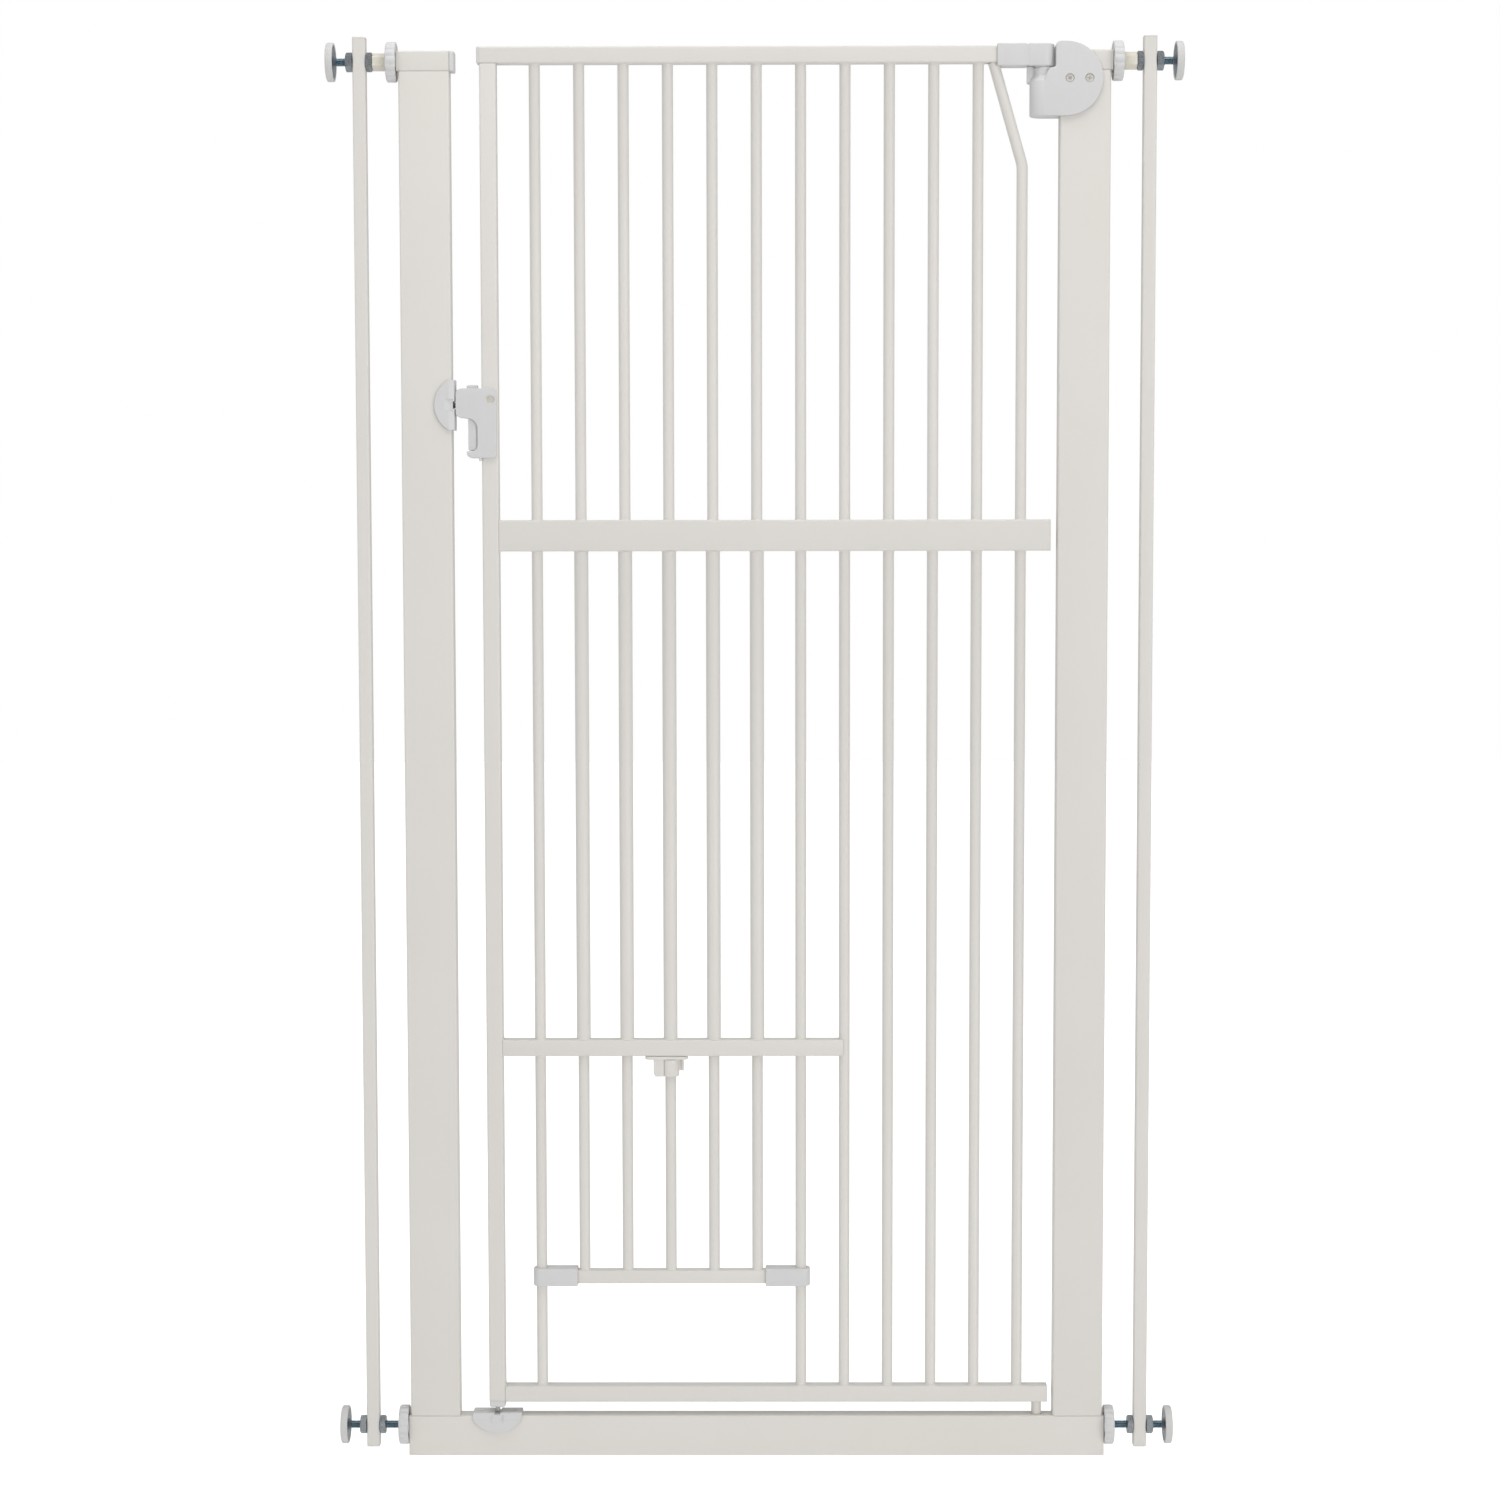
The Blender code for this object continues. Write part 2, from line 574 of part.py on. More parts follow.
def leaning_bar(name, hinge, x, top, bottom):
    """The bar next to the hinge: upright, then bent inwards at its top."""
    lean = math.atan2(x - LAST_BAR_TOP_X, top - LAST_BAR_KNEE_Z)
    tangent = LAST_BAR_BEND * math.tan(lean / 2)
    path = [((x, bottom), 0.0)]
    for step in range(7):
        angle = lean * step / 6
        centre_x = x - LAST_BAR_BEND
        path.append(((centre_x + LAST_BAR_BEND * math.cos(angle),
                      LAST_BAR_KNEE_Z - tangent + LAST_BAR_BEND * math.sin(angle)), angle))
    path.append(((LAST_BAR_TOP_X, top), lean))

    def rings(radius):
        made = []
        for (px, pz), angle in path:
            ring = []
            level_cut = pz == top
            for a, b in circle(radius, BAR_SIDES):
                if level_cut:
                    ring.append((px + a / math.cos(angle), b, pz))
                else:
                    ring.append((px + a * math.cos(angle), b, pz + a * math.sin(angle)))
            made.append(ring)
        return made

    walls = rings(BAR_RADIUS) + list(reversed(rings(BAR_RADIUS - BAR_WALL)))
    place_mesh(name, loft(bmesh.new(), walls, wrap=True), paint(), hinge)


def door_bars(hinge):
    top = TOP_RAIL_Z - DOOR_HALF - GAP
    bottom = BOTTOM_RAIL_Z + DOOR_HALF + GAP
    guide_end = CAT_RAIL_Z + DOOR_HALF + GAP
    for index in range(BAR_COUNT):
        name = "bar_%02d" % (index + 1)
        if index in CAT_BARS:
            guide_bar(name, hinge, bar_x(index), top, guide_end)
        elif index == BAR_COUNT - 1:
            leaning_bar(name, hinge, bar_x(index), top, bottom)
        else:
            straight_bar(name, hinge, bar_x(index), top, bottom)


def hinge_arm(hinge):
    """Moulded arm on the end of the top rail: sleeve, pivot block, boss and pin."""
    points = [(HINGE_ARM_IN, HINGE_ARM_HALF), (HINGE_ARM_IN, -HINGE_ARM_HALF)]
    for step in range(13):
        angle = -math.pi / 2 + math.pi * step / 12
        points.append((HINGE_X + HINGE_ARM_HALF * math.cos(angle), HINGE_ARM_HALF * math.sin(angle)))
    bm = prism(bmesh.new(), "z", points, HINGE_ARM_BOTTOM, HINGE_ARM_TOP)
    arm = place_mesh("hinge_arm", bm, grey_plastic(), hinge)
    profile = [(HINGE_PIN_RADIUS, 1.352), (HINGE_PIN_RADIUS, HINGE_BOSS_BOTTOM)]
    profile += [(HINGE_BOSS_RADIUS, HINGE_BOSS_BOTTOM), (HINGE_BOSS_RADIUS, HINGE_ARM_BOTTOM + 0.002)]
    boolean(arm, "UNION", "boss", lambda b: turned(b, profile, (HINGE_X, 0), sides=24))
    space = rounded_rectangle(DOOR_TUBE + 2 * GAP, DOOR_TUBE + 2 * GAP, 0.0018, 2, (0, TOP_RAIL_Z))
    boolean(arm, "DIFFERENCE", "rail_space",
            lambda b: prism(b, "x", space, HINGE_ARM_IN - 0.002, 0.262 + GAP))
    boolean(arm, "DIFFERENCE", "bar_notch", leaning_bar_space)
    return arm


def leaning_bar_space(bm):
    """Room for the top of the last bar, which leans in under the end of the arm."""
    slope = (bar_x(BAR_COUNT - 1) - LAST_BAR_TOP_X) / (LAST_BAR_TOP_Z - LAST_BAR_KNEE_Z)
    rings = []
    for z in (1.3800, 1.4000):
        centre = LAST_BAR_TOP_X + (LAST_BAR_TOP_Z - z) * slope
        rings.append(along("z", circle(BAR_RADIUS + 0.0006, BAR_SIDES, (centre, 0)), z))
    return loft(bm, rings)


# ---------------------------------------------------------------- latch
def arc(centre, radius, start, end, steps=4):
    """Points round part of a circle, angles in degrees."""
    points = []
    for step in range(steps + 1):
        angle = math.radians(start + (end - start) * step / steps)
        points.append((centre[0] + radius * math.cos(angle), centre[1] + radius * math.sin(angle)))
    return points


def handle_outline():
    """Front outline of the latch handle: nose on top, a hollow for the fingers, a lip below."""
    top, bottom = HANDLE_TOP, HANDLE_BOTTOM
    points = arc((HANDLE_IN_X - 0.0045, bottom + 0.0045), 0.0045, 270, 360)
    points += arc((HANDLE_IN_X - 0.0065, top - 0.0065), 0.0065, 0, 90, 5)
    points += arc((HANDLE_NOSE_X + 0.0060, top - 0.0060), 0.0060, 90, 180, 5)
    points += arc((HANDLE_NOSE_X + 0.0050, 1.0527), 0.0050, 180, 255)
    points += arc((HANDLE_SPINE_X - 0.0100, 1.0368), 0.0100, 90, 0, 5)
    points += [(HANDLE_SPINE_X, 1.0188), (-0.2760, 1.0158), (-0.2790, 1.0146), (-0.2846, 1.0143)]
    points += arc((-0.2804, bottom + 0.0050), 0.0050, 176, 270)
    return points


def handle_body(hinge):
    """Moulded housing that straddles the stile and carries the trigger, the bolt and the button."""
    bm = prism(bmesh.new(), "y", handle_outline(), -HANDLE_HALF_DEPTH, HANDLE_HALF_DEPTH)
    body = place_mesh("handle_body", bm, grey_plastic(), hinge)
    half = DOOR_HALF + GAP
    left, right = STILE_X - half, STILE_X + half + 0.002
    space = [(left, -half), (right, -half), (right, half), (left, half)]
    boolean(body, "DIFFERENCE", "stile_space", lambda b: prism(b, "z", space, 1.00, 1.09))
    pocket = [(-0.2900, 1.0147), (left + 0.001, 1.0147), (left + 0.001, 1.0470), (-0.2900, 1.0470)]
    boolean(body, "DIFFERENCE", "trigger_pocket", lambda b: prism(b, "y", pocket, -0.0092, 0.0092))
    bore = circle(LATCH_BOLT_RADIUS + GAP, 16, (0, UPPER_KEEPER_Z))
    boolean(body, "DIFFERENCE", "bolt_bore",
            lambda b: prism(b, "x", bore, HANDLE_NOSE_X - 0.002, left + 0.001))
    well = rounded_rectangle(0.0116, 0.0086, 0.001, 2, (-0.2802, 0))
    boolean(body, "DIFFERENCE", "button_well", lambda b: prism(b, "z", well, 1.0700, HANDLE_TOP + 0.002))
    return body


def latch_works():
    """The pieces that travel: trigger, head bolt, foot bolt and the safety button."""
    trigger_axis = empty("trigger_axis", (-0.2794, 0, 1.0309))
    outline = [(-0.2752, 1.0152), (-0.2752, 1.0466), (-0.2829, 1.0466), (-0.2840, 1.0450)]
    outline += [(-0.2840, 1.0168), (-0.2829, 1.0152)]
    bm = prism(bmesh.new(), "y", outline, -0.0088, 0.0088)
    place_mesh("latch_trigger", bm, grey_plastic(), trigger_axis)

    bolt_axis = empty("bolt_axis", (-0.2876, 0, UPPER_KEEPER_Z))
    profile = [(0.0022, -0.2984), (LATCH_BOLT_RADIUS, -0.2976), (LATCH_BOLT_RADIUS, -0.2765)]
    bm = turned(bmesh.new(), profile, (0, UPPER_KEEPER_Z), "x", 16)
    place_mesh("latch_bolt", bm, zinc(), bolt_axis)

    foot_axis = empty("foot_bolt_axis", (STILE_X, 0, 0.50))
    profile = [(0.0015, 0.0429), (FOOT_BOLT_RADIUS, 0.0437), (FOOT_BOLT_RADIUS, 0.0900)]
    profile += [(LINK_ROD_RADIUS, 0.0900), (LINK_ROD_RADIUS, 1.0100)]
    bm = turned(bmesh.new(), profile, (STILE_X, 0), "z", 16)
    place_mesh("foot_bolt", bm, zinc(), foot_axis)

    button_axis = empty("button_axis", (-0.2802, 0, 1.0766))
    outline = rounded_rectangle(0.0110, 0.0080, 0.001, 2, (-0.2802, 0))
    bm = prism(bmesh.new(), "z", outline, 1.0730, 1.0799)
    place_mesh("safety_button", bm, cream_plastic(), button_axis)


# ---------------------------------------------------------------- cat door
def cat_clip(name, slide, bar_centre, inner_end):
    """Moulded guide on one end of the cat door's bar; it runs up and down a bar of the door."""
    toward = 1 if inner_end > bar_centre else -1
    far = inner_end - toward * CLIP_LENGTH
    points = rounded_rectangle(CLIP_LENGTH, CLIP_DEPTH, 0.007, 3, ((inner_end + far) / 2, 0))
    z = CAT_BAR_Z
    bm = prism(bmesh.new(), "z", points, z - CLIP_HEIGHT / 2, z + CLIP_HEIGHT / 2)
    clip = place_mesh(name, bm, grey_plastic(), slide)
    bore = circle(BAR_RADIUS + 0.0004, 20, (bar_centre, 0))
    boolean(clip, "DIFFERENCE", "bar_bore", lambda b: prism(b, "z", bore, z - 0.02, z + 0.02))
    reach = CAT_BAR_SIZE / 2 + GAP
    socket = [(-reach, z - reach), (reach, z - reach), (reach, z + reach), (-reach, z + reach)]
    depth = inner_end - toward * 0.014
    boolean(clip, "DIFFERENCE", "bar_socket",
            lambda b: prism(b, "x", socket, depth, inner_end + toward * 0.002))
    return clip


def cat_door():
    """Rising panel: a level bar with five rods that slide up into the guide sleeves."""
    slide = empty("cat_door_axis", (LOCK_BAR_X, 0, CAT_BAR_Z))
    left_end, right_end = -0.1803, 0.0096
    reach = 0.0134
    size = rounded_rectangle(CAT_BAR_SIZE, CAT_BAR_SIZE, 0.0018, 2, (0, CAT_BAR_Z))
    bm = prism(bmesh.new(), "x", size, left_end - reach, right_end + reach)
    grille = place_mesh("cat_grille", bm, paint(), slide)
    for index in CAT_BARS:
        rod = circle(BAR_RADIUS, BAR_SIDES, (bar_x(index), 0))
        boolean(grille, "UNION", "rod_" + str(index + 1),
                lambda b, r=rod: prism(b, "z", r, CAT_BAR_Z, CAT_ROD_TOP))
    floor = CAT_BAR_Z + CAT_BAR_SIZE / 2
    for index in CAT_BARS:
        bore = circle(BAR_RADIUS - BAR_WALL, BAR_SIDES // 2, (bar_x(index), 0))
        boolean(grille, "DIFFERENCE", "bore_" + str(index + 1),
                lambda b, r=bore: prism(b, "z", r, floor, CAT_ROD_TOP + 0.01))
    core = rounded_rectangle(0.0111, 0.0111, 0.0008, 2, (0, CAT_BAR_Z))
    boolean(grille, "DIFFERENCE", "bar_hollow",
            lambda b: prism(b, "x", core, left_end - 0.03, right_end + 0.03))
    cat_clip("cat_clip_left", slide, bar_x(0), left_end)
    cat_clip("cat_clip_right", slide, bar_x(6), right_end)


def cat_lock(hinge):
    """Catch under the cat rail: a fixed housing and a collar that turns round the middle rod."""
    top = CAT_RAIL_Z - DOOR_HALF - GAP
    plate = rounded_rectangle(0.0432, 0.0165, 0.003, 2, (-0.0898, 0))
    bm = prism(bmesh.new(), "z", plate, top - LOCK_PLATE, top)
    housing = place_mesh("cat_lock_housing", bm, cream_plastic(), hinge)
    block = [(-0.1029, LOCK_BOTTOM + 0.004), (-0.1009, LOCK_BOTTOM), (-0.0925, LOCK_BOTTOM)]
    block += [(-0.0925, top - 0.001), (-0.1029, top - 0.001)]
    boolean(housing, "UNION", "block", lambda b: prism(b, "y", block, -0.007, 0.007))
    turning = circle(LOCK_BARREL_RADIUS + GAP, 24, (LOCK_BAR_X, 0))
    boolean(housing, "DIFFERENCE", "turning_space",
            lambda b: prism(b, "z", turning, LOCK_BOTTOM - 0.002, top - LOCK_PLATE))
    bore = circle(GUIDE_BORE, 20, (LOCK_BAR_X, 0))
    boolean(housing, "DIFFERENCE", "bore", lambda b: prism(b, "z", bore, top - 0.01, top + 0.01))

    collar_axis = empty("collar_axis", (LOCK_BAR_X, 0, LOCK_BOTTOM))
    outer = circle(LOCK_BARREL_RADIUS, 24, (LOCK_BAR_X, 0))
    inner = circle(GUIDE_BORE, 24, (LOCK_BAR_X, 0))
    collar_top = top - LOCK_PLATE - GAP
    bm = open_tube(bmesh.new(), "z", outer, inner, LOCK_BOTTOM, collar_top)
    collar = place_mesh("cat_lock_collar", bm, cream_plastic(), collar_axis)
    tab = [(LOCK_BAR_X + 0.0075, collar_top), (LOCK_BAR_X + 0.0075, 0.3932)]
    tab += [(-0.0724, 0.3932), (-0.0724, collar_top)]
    boolean(collar, "UNION", "tab", lambda b: prism(b, "y", tab, -0.0035, 0.0035))
    return collar


# ---------------------------------------------------------------- assembly
def build():
    clear_scene()
    threshold_rail()
    post(-1, "left_post")
    post(1, "right_post")
    left_top_cap()
    keepers()
    hinge_case()
    side_extensions()
    hinge = empty("door_hinge_axis", (HINGE_X, 0, BOTTOM_RAIL_Z))
    latch_stile(hinge)
    door_rails(hinge)
    door_bars(hinge)
    hinge_arm(hinge)
    handle_body(hinge)
    latch_works()
    cat_door()
    cat_lock(hinge)


build()
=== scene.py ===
import json
import math

import bmesh
import bpy
from mathutils import Matrix, Vector


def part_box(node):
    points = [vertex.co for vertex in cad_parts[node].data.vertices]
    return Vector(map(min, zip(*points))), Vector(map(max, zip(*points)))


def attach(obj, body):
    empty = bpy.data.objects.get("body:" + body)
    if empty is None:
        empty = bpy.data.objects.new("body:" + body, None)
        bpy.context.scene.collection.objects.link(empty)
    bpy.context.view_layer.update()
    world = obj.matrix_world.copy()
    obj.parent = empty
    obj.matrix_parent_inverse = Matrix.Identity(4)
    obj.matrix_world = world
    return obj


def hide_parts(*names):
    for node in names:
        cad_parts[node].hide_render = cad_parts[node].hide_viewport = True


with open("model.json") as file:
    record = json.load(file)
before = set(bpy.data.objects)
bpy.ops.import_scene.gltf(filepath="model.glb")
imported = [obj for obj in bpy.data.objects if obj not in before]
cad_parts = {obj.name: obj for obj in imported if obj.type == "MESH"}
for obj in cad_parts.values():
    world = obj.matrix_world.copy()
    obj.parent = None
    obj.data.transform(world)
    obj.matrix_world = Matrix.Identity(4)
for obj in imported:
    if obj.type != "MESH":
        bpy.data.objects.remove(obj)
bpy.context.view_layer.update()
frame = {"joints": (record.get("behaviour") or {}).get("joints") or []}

# ---------------------------------------------------------------- threshold rail
# The level tube along the floor that carries both posts. Cold-rolled steel, 41 x 20 mm, with a
# plate welded over each end. It is powder coated warm white together with the posts.


def round_outline(low, high, radius, steps=5):
    """Flat outline of a rolled tube: a rectangle between two corners, with rounded corners."""
    points = []
    for right, up, start in ((1, 1, 0), (0, 1, 90), (0, 0, 180), (1, 0, 270)):
        middle_a = high[0] - radius if right else low[0] + radius
        middle_b = high[1] - radius if up else low[1] + radius
        for step in range(steps + 1):
            angle = math.radians(start + 90 * step / steps)
            points.append((middle_a + radius * math.cos(angle), middle_b + radius * math.sin(angle)))
    return points


def disc_outline(radius, middle=(0.0, 0.0), sides=40, turn=0.0):
    """Flat outline of a round bar or a drilled hole."""
    return [(middle[0] + radius * math.cos(turn + 2 * math.pi * i / sides),
             middle[1] + radius * math.sin(turn + 2 * math.pi * i / sides)) for i in range(sides)]


def stand(axis, points, distance):
    """Stand a flat outline up at a distance along an axis."""
    if axis == "x":
        return [(distance, a, b) for a, b in points]
    if axis == "y":
        return [(a, distance, b) for a, b in points]
    return [(a, b, distance) for a, b in points]


def skin(rings, bm=None, closed_loop=False):
    """Cover equal rings of points with faces, and close both ends unless they form a loop."""
    bm = bm or bmesh.new()
    loops = [[bm.verts.new(point) for point in ring] for ring in rings]
    pairs = list(zip(loops, loops[1:]))
    if closed_loop:
        pairs.append((loops[-1], loops[0]))
    for low, high in pairs:
        for i in range(len(low)):
            j = (i + 1) % len(low)
            bm.faces.new((low[i], low[j], high[j], high[i]))
    if not closed_loop:
        bm.faces.new(list(reversed(loops[0])))
        bm.faces.new(loops[-1])
    return bm


def soften(bm, width, steps=3, angle=30):
    """Round every edge that is sharper than an angle, as a die or a mould leaves it."""
    bmesh.ops.recalc_face_normals(bm, faces=bm.faces)
    limit = math.radians(angle)
    sharp = [edge for edge in bm.edges if len(edge.link_faces) == 2 and edge.calc_face_angle() > limit]
    bmesh.ops.bevel(bm, geom=sharp, offset=width, offset_type="OFFSET", segments=steps, profile=0.5,
                    affect="EDGES", clamp_overlap=True)
    return bm


def make_piece(name, bm, finish, crease=34):
    """Turn the drawn faces into a piece with smooth shading broken at its creases."""
    bmesh.ops.recalc_face_normals(bm, faces=bm.faces)
    mesh = bpy.data.meshes.new(name)
    bm.to_mesh(mesh)
    bm.free()
    mesh.shade_smooth()
    mesh.set_sharp_from_angle(angle=math.radians(crease))
    mesh.materials.append(finish)
    piece = bpy.data.objects.new(name, mesh)
    bpy.context.scene.collection.objects.link(piece)
    return piece


def work(piece, bm, operation="DIFFERENCE", crease=34):
    """Drill, cut or join one drawn solid on a piece, and keep only the finished mesh."""
    tool = make_piece("tool", bm, piece.data.materials[0])
    step = piece.modifiers.new("work", "BOOLEAN")
    step.operation = operation
    step.solver = "EXACT"
    step.object = tool
    bpy.context.view_layer.update()
    shaped = bpy.data.meshes.new_from_object(piece.evaluated_get(bpy.context.evaluated_depsgraph_get()))
    piece.modifiers.remove(step)
    shaped.name = piece.name
    piece.data = shaped
    bpy.data.objects.remove(tool)
    clean = bmesh.new()
    clean.from_mesh(shaped)
    bmesh.ops.remove_doubles(clean, verts=clean.verts, dist=0.000002)
    bmesh.ops.dissolve_degenerate(clean, edges=clean.edges, dist=0.000001)
    clean.to_mesh(shaped)
    clean.free()
    shaped.shade_smooth()
    shaped.set_sharp_from_angle(angle=math.radians(crease))
    return piece


def fit(piece, body, slot, *nodes):
    """Fix a piece to a body of the gate, in place of plain nodes."""
    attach(piece, body)
    if nodes:
        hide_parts(*nodes)
    return piece


def effect_group(name, colour, second_name, second, scale_name, scale, roughness):
    """An empty shader node group that takes two colours, a scale and a span of roughness."""
    tree = bpy.data.node_groups.new(name, "ShaderNodeTree")
    for label, kind, value in (("Colour", "NodeSocketColor", colour),
                               (second_name, "NodeSocketColor", second),
                               (scale_name, "NodeSocketFloat", scale),
                               ("Low Roughness", "NodeSocketFloat", roughness[0]),
                               ("High Roughness", "NodeSocketFloat", roughness[1])):
        socket = tree.interface.new_socket(label, in_out="INPUT", socket_type=kind)
        socket.default_value = value
    for label, kind in (("Colour", "NodeSocketColor"), ("Roughness", "NodeSocketFloat"),
                        ("Height", "NodeSocketFloat")):
        tree.interface.new_socket(label, in_out="OUTPUT", socket_type=kind)
    start = tree.nodes.new("NodeGroupInput")
    end = tree.nodes.new("NodeGroupOutput")
    return tree, start.outputs, end.inputs


def add_noise(tree, place, scale, detail, roughness=0.5):
    """Noise laid over the piece in metres; scale is features to the metre."""
    noise = tree.nodes.new("ShaderNodeTexNoise")
    noise.inputs["Detail"].default_value = detail
    noise.inputs["Roughness"].default_value = roughness
    tree.links.new(place, noise.inputs["Vector"])
    if isinstance(scale, (int, float)):
        noise.inputs["Scale"].default_value = scale
    else:
        tree.links.new(scale, noise.inputs["Scale"])
    return noise.outputs["Fac"]


def add_range(tree, value, low, high, from_low=0.0, from_high=1.0):
    """Spread a value over a new range; the ends can be numbers or sockets."""
    node = tree.nodes.new("ShaderNodeMapRange")
    tree.links.new(value, node.inputs["Value"])
    node.inputs["From Min"].default_value = from_low
    node.inputs["From Max"].default_value = from_high
    for label, end in (("To Min", low), ("To Max", high)):
        if isinstance(end, (int, float)):
            node.inputs[label].default_value = end
        else:
            tree.links.new(end, node.inputs[label])
    return node.outputs["Result"]


def add_math(tree, operation, a, b):
    """One sum on two values; each can be a number or a socket."""
    node = tree.nodes.new("ShaderNodeMath")
    node.operation = operation
    for socket, value in zip(node.inputs, (a, b)):
        if isinstance(value, (int, float)):
            socket.default_value = value
        else:
            tree.links.new(value, socket)
    return node.outputs["Value"]


def add_tint(tree, colour, tint, amount, blend="MIX"):
    """Lay a tint over a colour by an amount from 0 to 1."""
    node = tree.nodes.new("ShaderNodeMix")
    node.data_type = "RGBA"
    node.blend_type = blend
    tree.links.new(amount, node.inputs["Factor"])
    for socket, value in ((node.inputs[6], colour), (node.inputs[7], tint)):
        if isinstance(value, tuple):
            socket.default_value = value + (1.0,)
        else:
            tree.links.new(value, socket)
    return node.outputs[2]


def powder_coat_group():
    """Stoved powder coat: a fine orange peel, a slow drift of tone, and settled flecks."""
    tree, given, out = effect_group("powder_coat", (0.8, 0.8, 0.8, 1.0), "Shade", (0.7, 0.7, 0.7, 1.0),
                                    "Peel Scale", 900.0, (0.35, 0.5))
    place = tree.nodes.new("ShaderNodeTexCoord").outputs["Object"]
    peel = add_noise(tree, place, given["Peel Scale"], 2.0, 0.45)
    fine = add_noise(tree, place, add_math(tree, "MULTIPLY", given["Peel Scale"], 4.3), 1.0)
    drift = add_noise(tree, place, 7.0, 3.0)
    cloud = add_range(tree, drift, 0.0, 0.32, 0.35, 0.70)
    toned = add_tint(tree, given["Colour"], given["Shade"], cloud)
    fleck = add_range(tree, fine, 0.0, 0.10, 0.60, 0.80)
    tree.links.new(add_tint(tree, toned, given["Shade"], fleck), out["Colour"])
    rough = add_range(tree, add_math(tree, "ADD", add_math(tree, "MULTIPLY", peel, 0.6),
                                     add_math(tree, "MULTIPLY", drift, 0.4)),
                      given["Low Roughness"], given["High Roughness"], 0.3, 0.7)
    tree.links.new(rough, out["Roughness"])
    tree.links.new(add_math(tree, "ADD", peel, add_math(tree, "MULTIPLY", fine, 0.15)), out["Height"])
    return tree


def finish_with(name, group, values, height, distance=0.0001, **fixed):
    """A material with one effect group feeding its shader, and fixed numbers set on the shader."""
    made = bpy.data.materials.new(name)
    made.use_nodes = True
    tree = made.node_tree
    shader = tree.nodes["Principled BSDF"]
    for label, value in fixed.items():
        shader.inputs[label.replace("_", " ")].default_value = value
    effect = tree.nodes.new("ShaderNodeGroup")
    effect.node_tree = group
    effect.label = group.name
    for label, value in values.items():
        effect.inputs[label].default_value = value
    tree.links.new(effect.outputs["Colour"], shader.inputs["Base Color"])
    tree.links.new(effect.outputs["Roughness"], shader.inputs["Roughness"])
    bump = tree.nodes.new("ShaderNodeBump")
    bump.inputs["Strength"].default_value = height
    bump.inputs["Distance"].default_value = distance
    tree.links.new(effect.outputs["Height"], bump.inputs["Height"])
    tree.links.new(bump.outputs["Normal"], shader.inputs["Normal"])
    return made


warm_white = (0.735, 0.713, 0.676, 1.0)
warm_shade = (0.690, 0.665, 0.615, 1.0)
powder_coat = powder_coat_group()
tube_paint = finish_with("warm_white_powder_coat", powder_coat,
                         {"Colour": warm_white, "Shade": warm_shade, "Peel Scale": 850.0,
                          "Low Roughness": 0.34, "High Roughness": 0.46},
                         0.30, 0.00012, IOR=1.45)

rail_low, rail_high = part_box("threshold_rail")
tube_corner = 0.0019
end_plate = 0.002
spindle_bore = 0.0046
bore_depth = 0.034
socket_radius = 0.0055
socket_depth = 0.0090
past = 0.002


def bore_inwards(piece, outer_x, outline):
    """Drill a level hole for a spindle, from an outer end of a tube towards the door."""
    side = math.copysign(1, outer_x)
    work(piece, skin([stand("x", outline, outer_x + side * past),
                      stand("x", outline, outer_x - side * bore_depth)]))


def tube_rings(axis, low, high, radius, start, end, edge=0.0005, seams=()):
    """Rings of a closed tube: its two ends are dressed off, and each weld seam is a fine groove."""
    marks = [(start, edge), (start + edge * 0.3, edge * 0.3), (start + edge, 0.0)]
    for seam in sorted(seams):
        marks += [(seam - 0.0003, 0.0), (seam, 0.00028), (seam + 0.0003, 0.0)]
    marks += [(end - edge, 0.0), (end - edge * 0.3, edge * 0.3), (end, edge)]
    rings = []
    for place, inset in marks:
        outline = round_outline((low[0] + inset, low[1] + inset), (high[0] - inset, high[1] - inset),
                                max(radius - inset, 0.0004))
        rings.append(stand(axis, outline, place))
    return rings


rail_seams = (rail_low.x + end_plate, rail_high.x - end_plate)
threshold = make_piece("threshold_tube", skin(tube_rings(
    "x", (rail_low.y, rail_low.z), (rail_high.y, rail_high.z), tube_corner, rail_low.x, rail_high.x,
    seams=rail_seams)), tube_paint)
spindle_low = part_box("spindle_left_bottom")
low_spindle_z = (spindle_low[0].z + spindle_low[1].z) / 2
for outer_x in (rail_low.x, rail_high.x):
    bore_inwards(threshold, outer_x, disc_outline(spindle_bore, (0.0, low_spindle_z)))
hinge_x = frame["joints"][0]["pos_m"][0]
socket = disc_outline(socket_radius, (hinge_x, 0.0))
work(threshold, skin([stand("z", socket, rail_high.z - socket_depth),
                      stand("z", socket, rail_high.z + 0.003)]))
fit(threshold, "frame", "frame_paint", "threshold_rail")

# ---------------------------------------------------------------- posts
# Two uprights of 50 x 20 mm tube stand on the threshold, each with a short square head tube
# welded level on top for the upper spindle. Both butt seams show as a fine line in the paint.
head_height = 0.020
depth = rail_high.y
for word, side in (("left", -1), ("right", 1)):
    post_low, post_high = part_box(word + "_post")
    inner_x, outer_x = (post_high.x, post_low.x) if side < 0 else (post_low.x, post_high.x)
    tube_outer = outer_x - side * end_plate
    shoulder = post_high.z - head_height
    left_x, right_x = sorted((inner_x, tube_outer))
    upright = make_piece(word + "_post_tube", skin(tube_rings(
        "z", (left_x, -depth), (right_x, depth), tube_corner, post_low.z - 0.0003, shoulder)), tube_paint)
    fit(upright, "frame", "frame_paint", word + "_post")
    start, end = sorted((inner_x, outer_x))
    head = make_piece(word + "_head_tube", skin(tube_rings(
        "x", (-depth, shoulder), (depth, post_high.z), tube_corner, start, end,
        seams=(tube_outer,))), tube_paint)
    high_spindle_z = shoulder + head_height / 2
    bore_inwards(head, outer_x, disc_outline(spindle_bore, (0.0, high_spindle_z)))
    fit(head, "frame", "frame_paint")

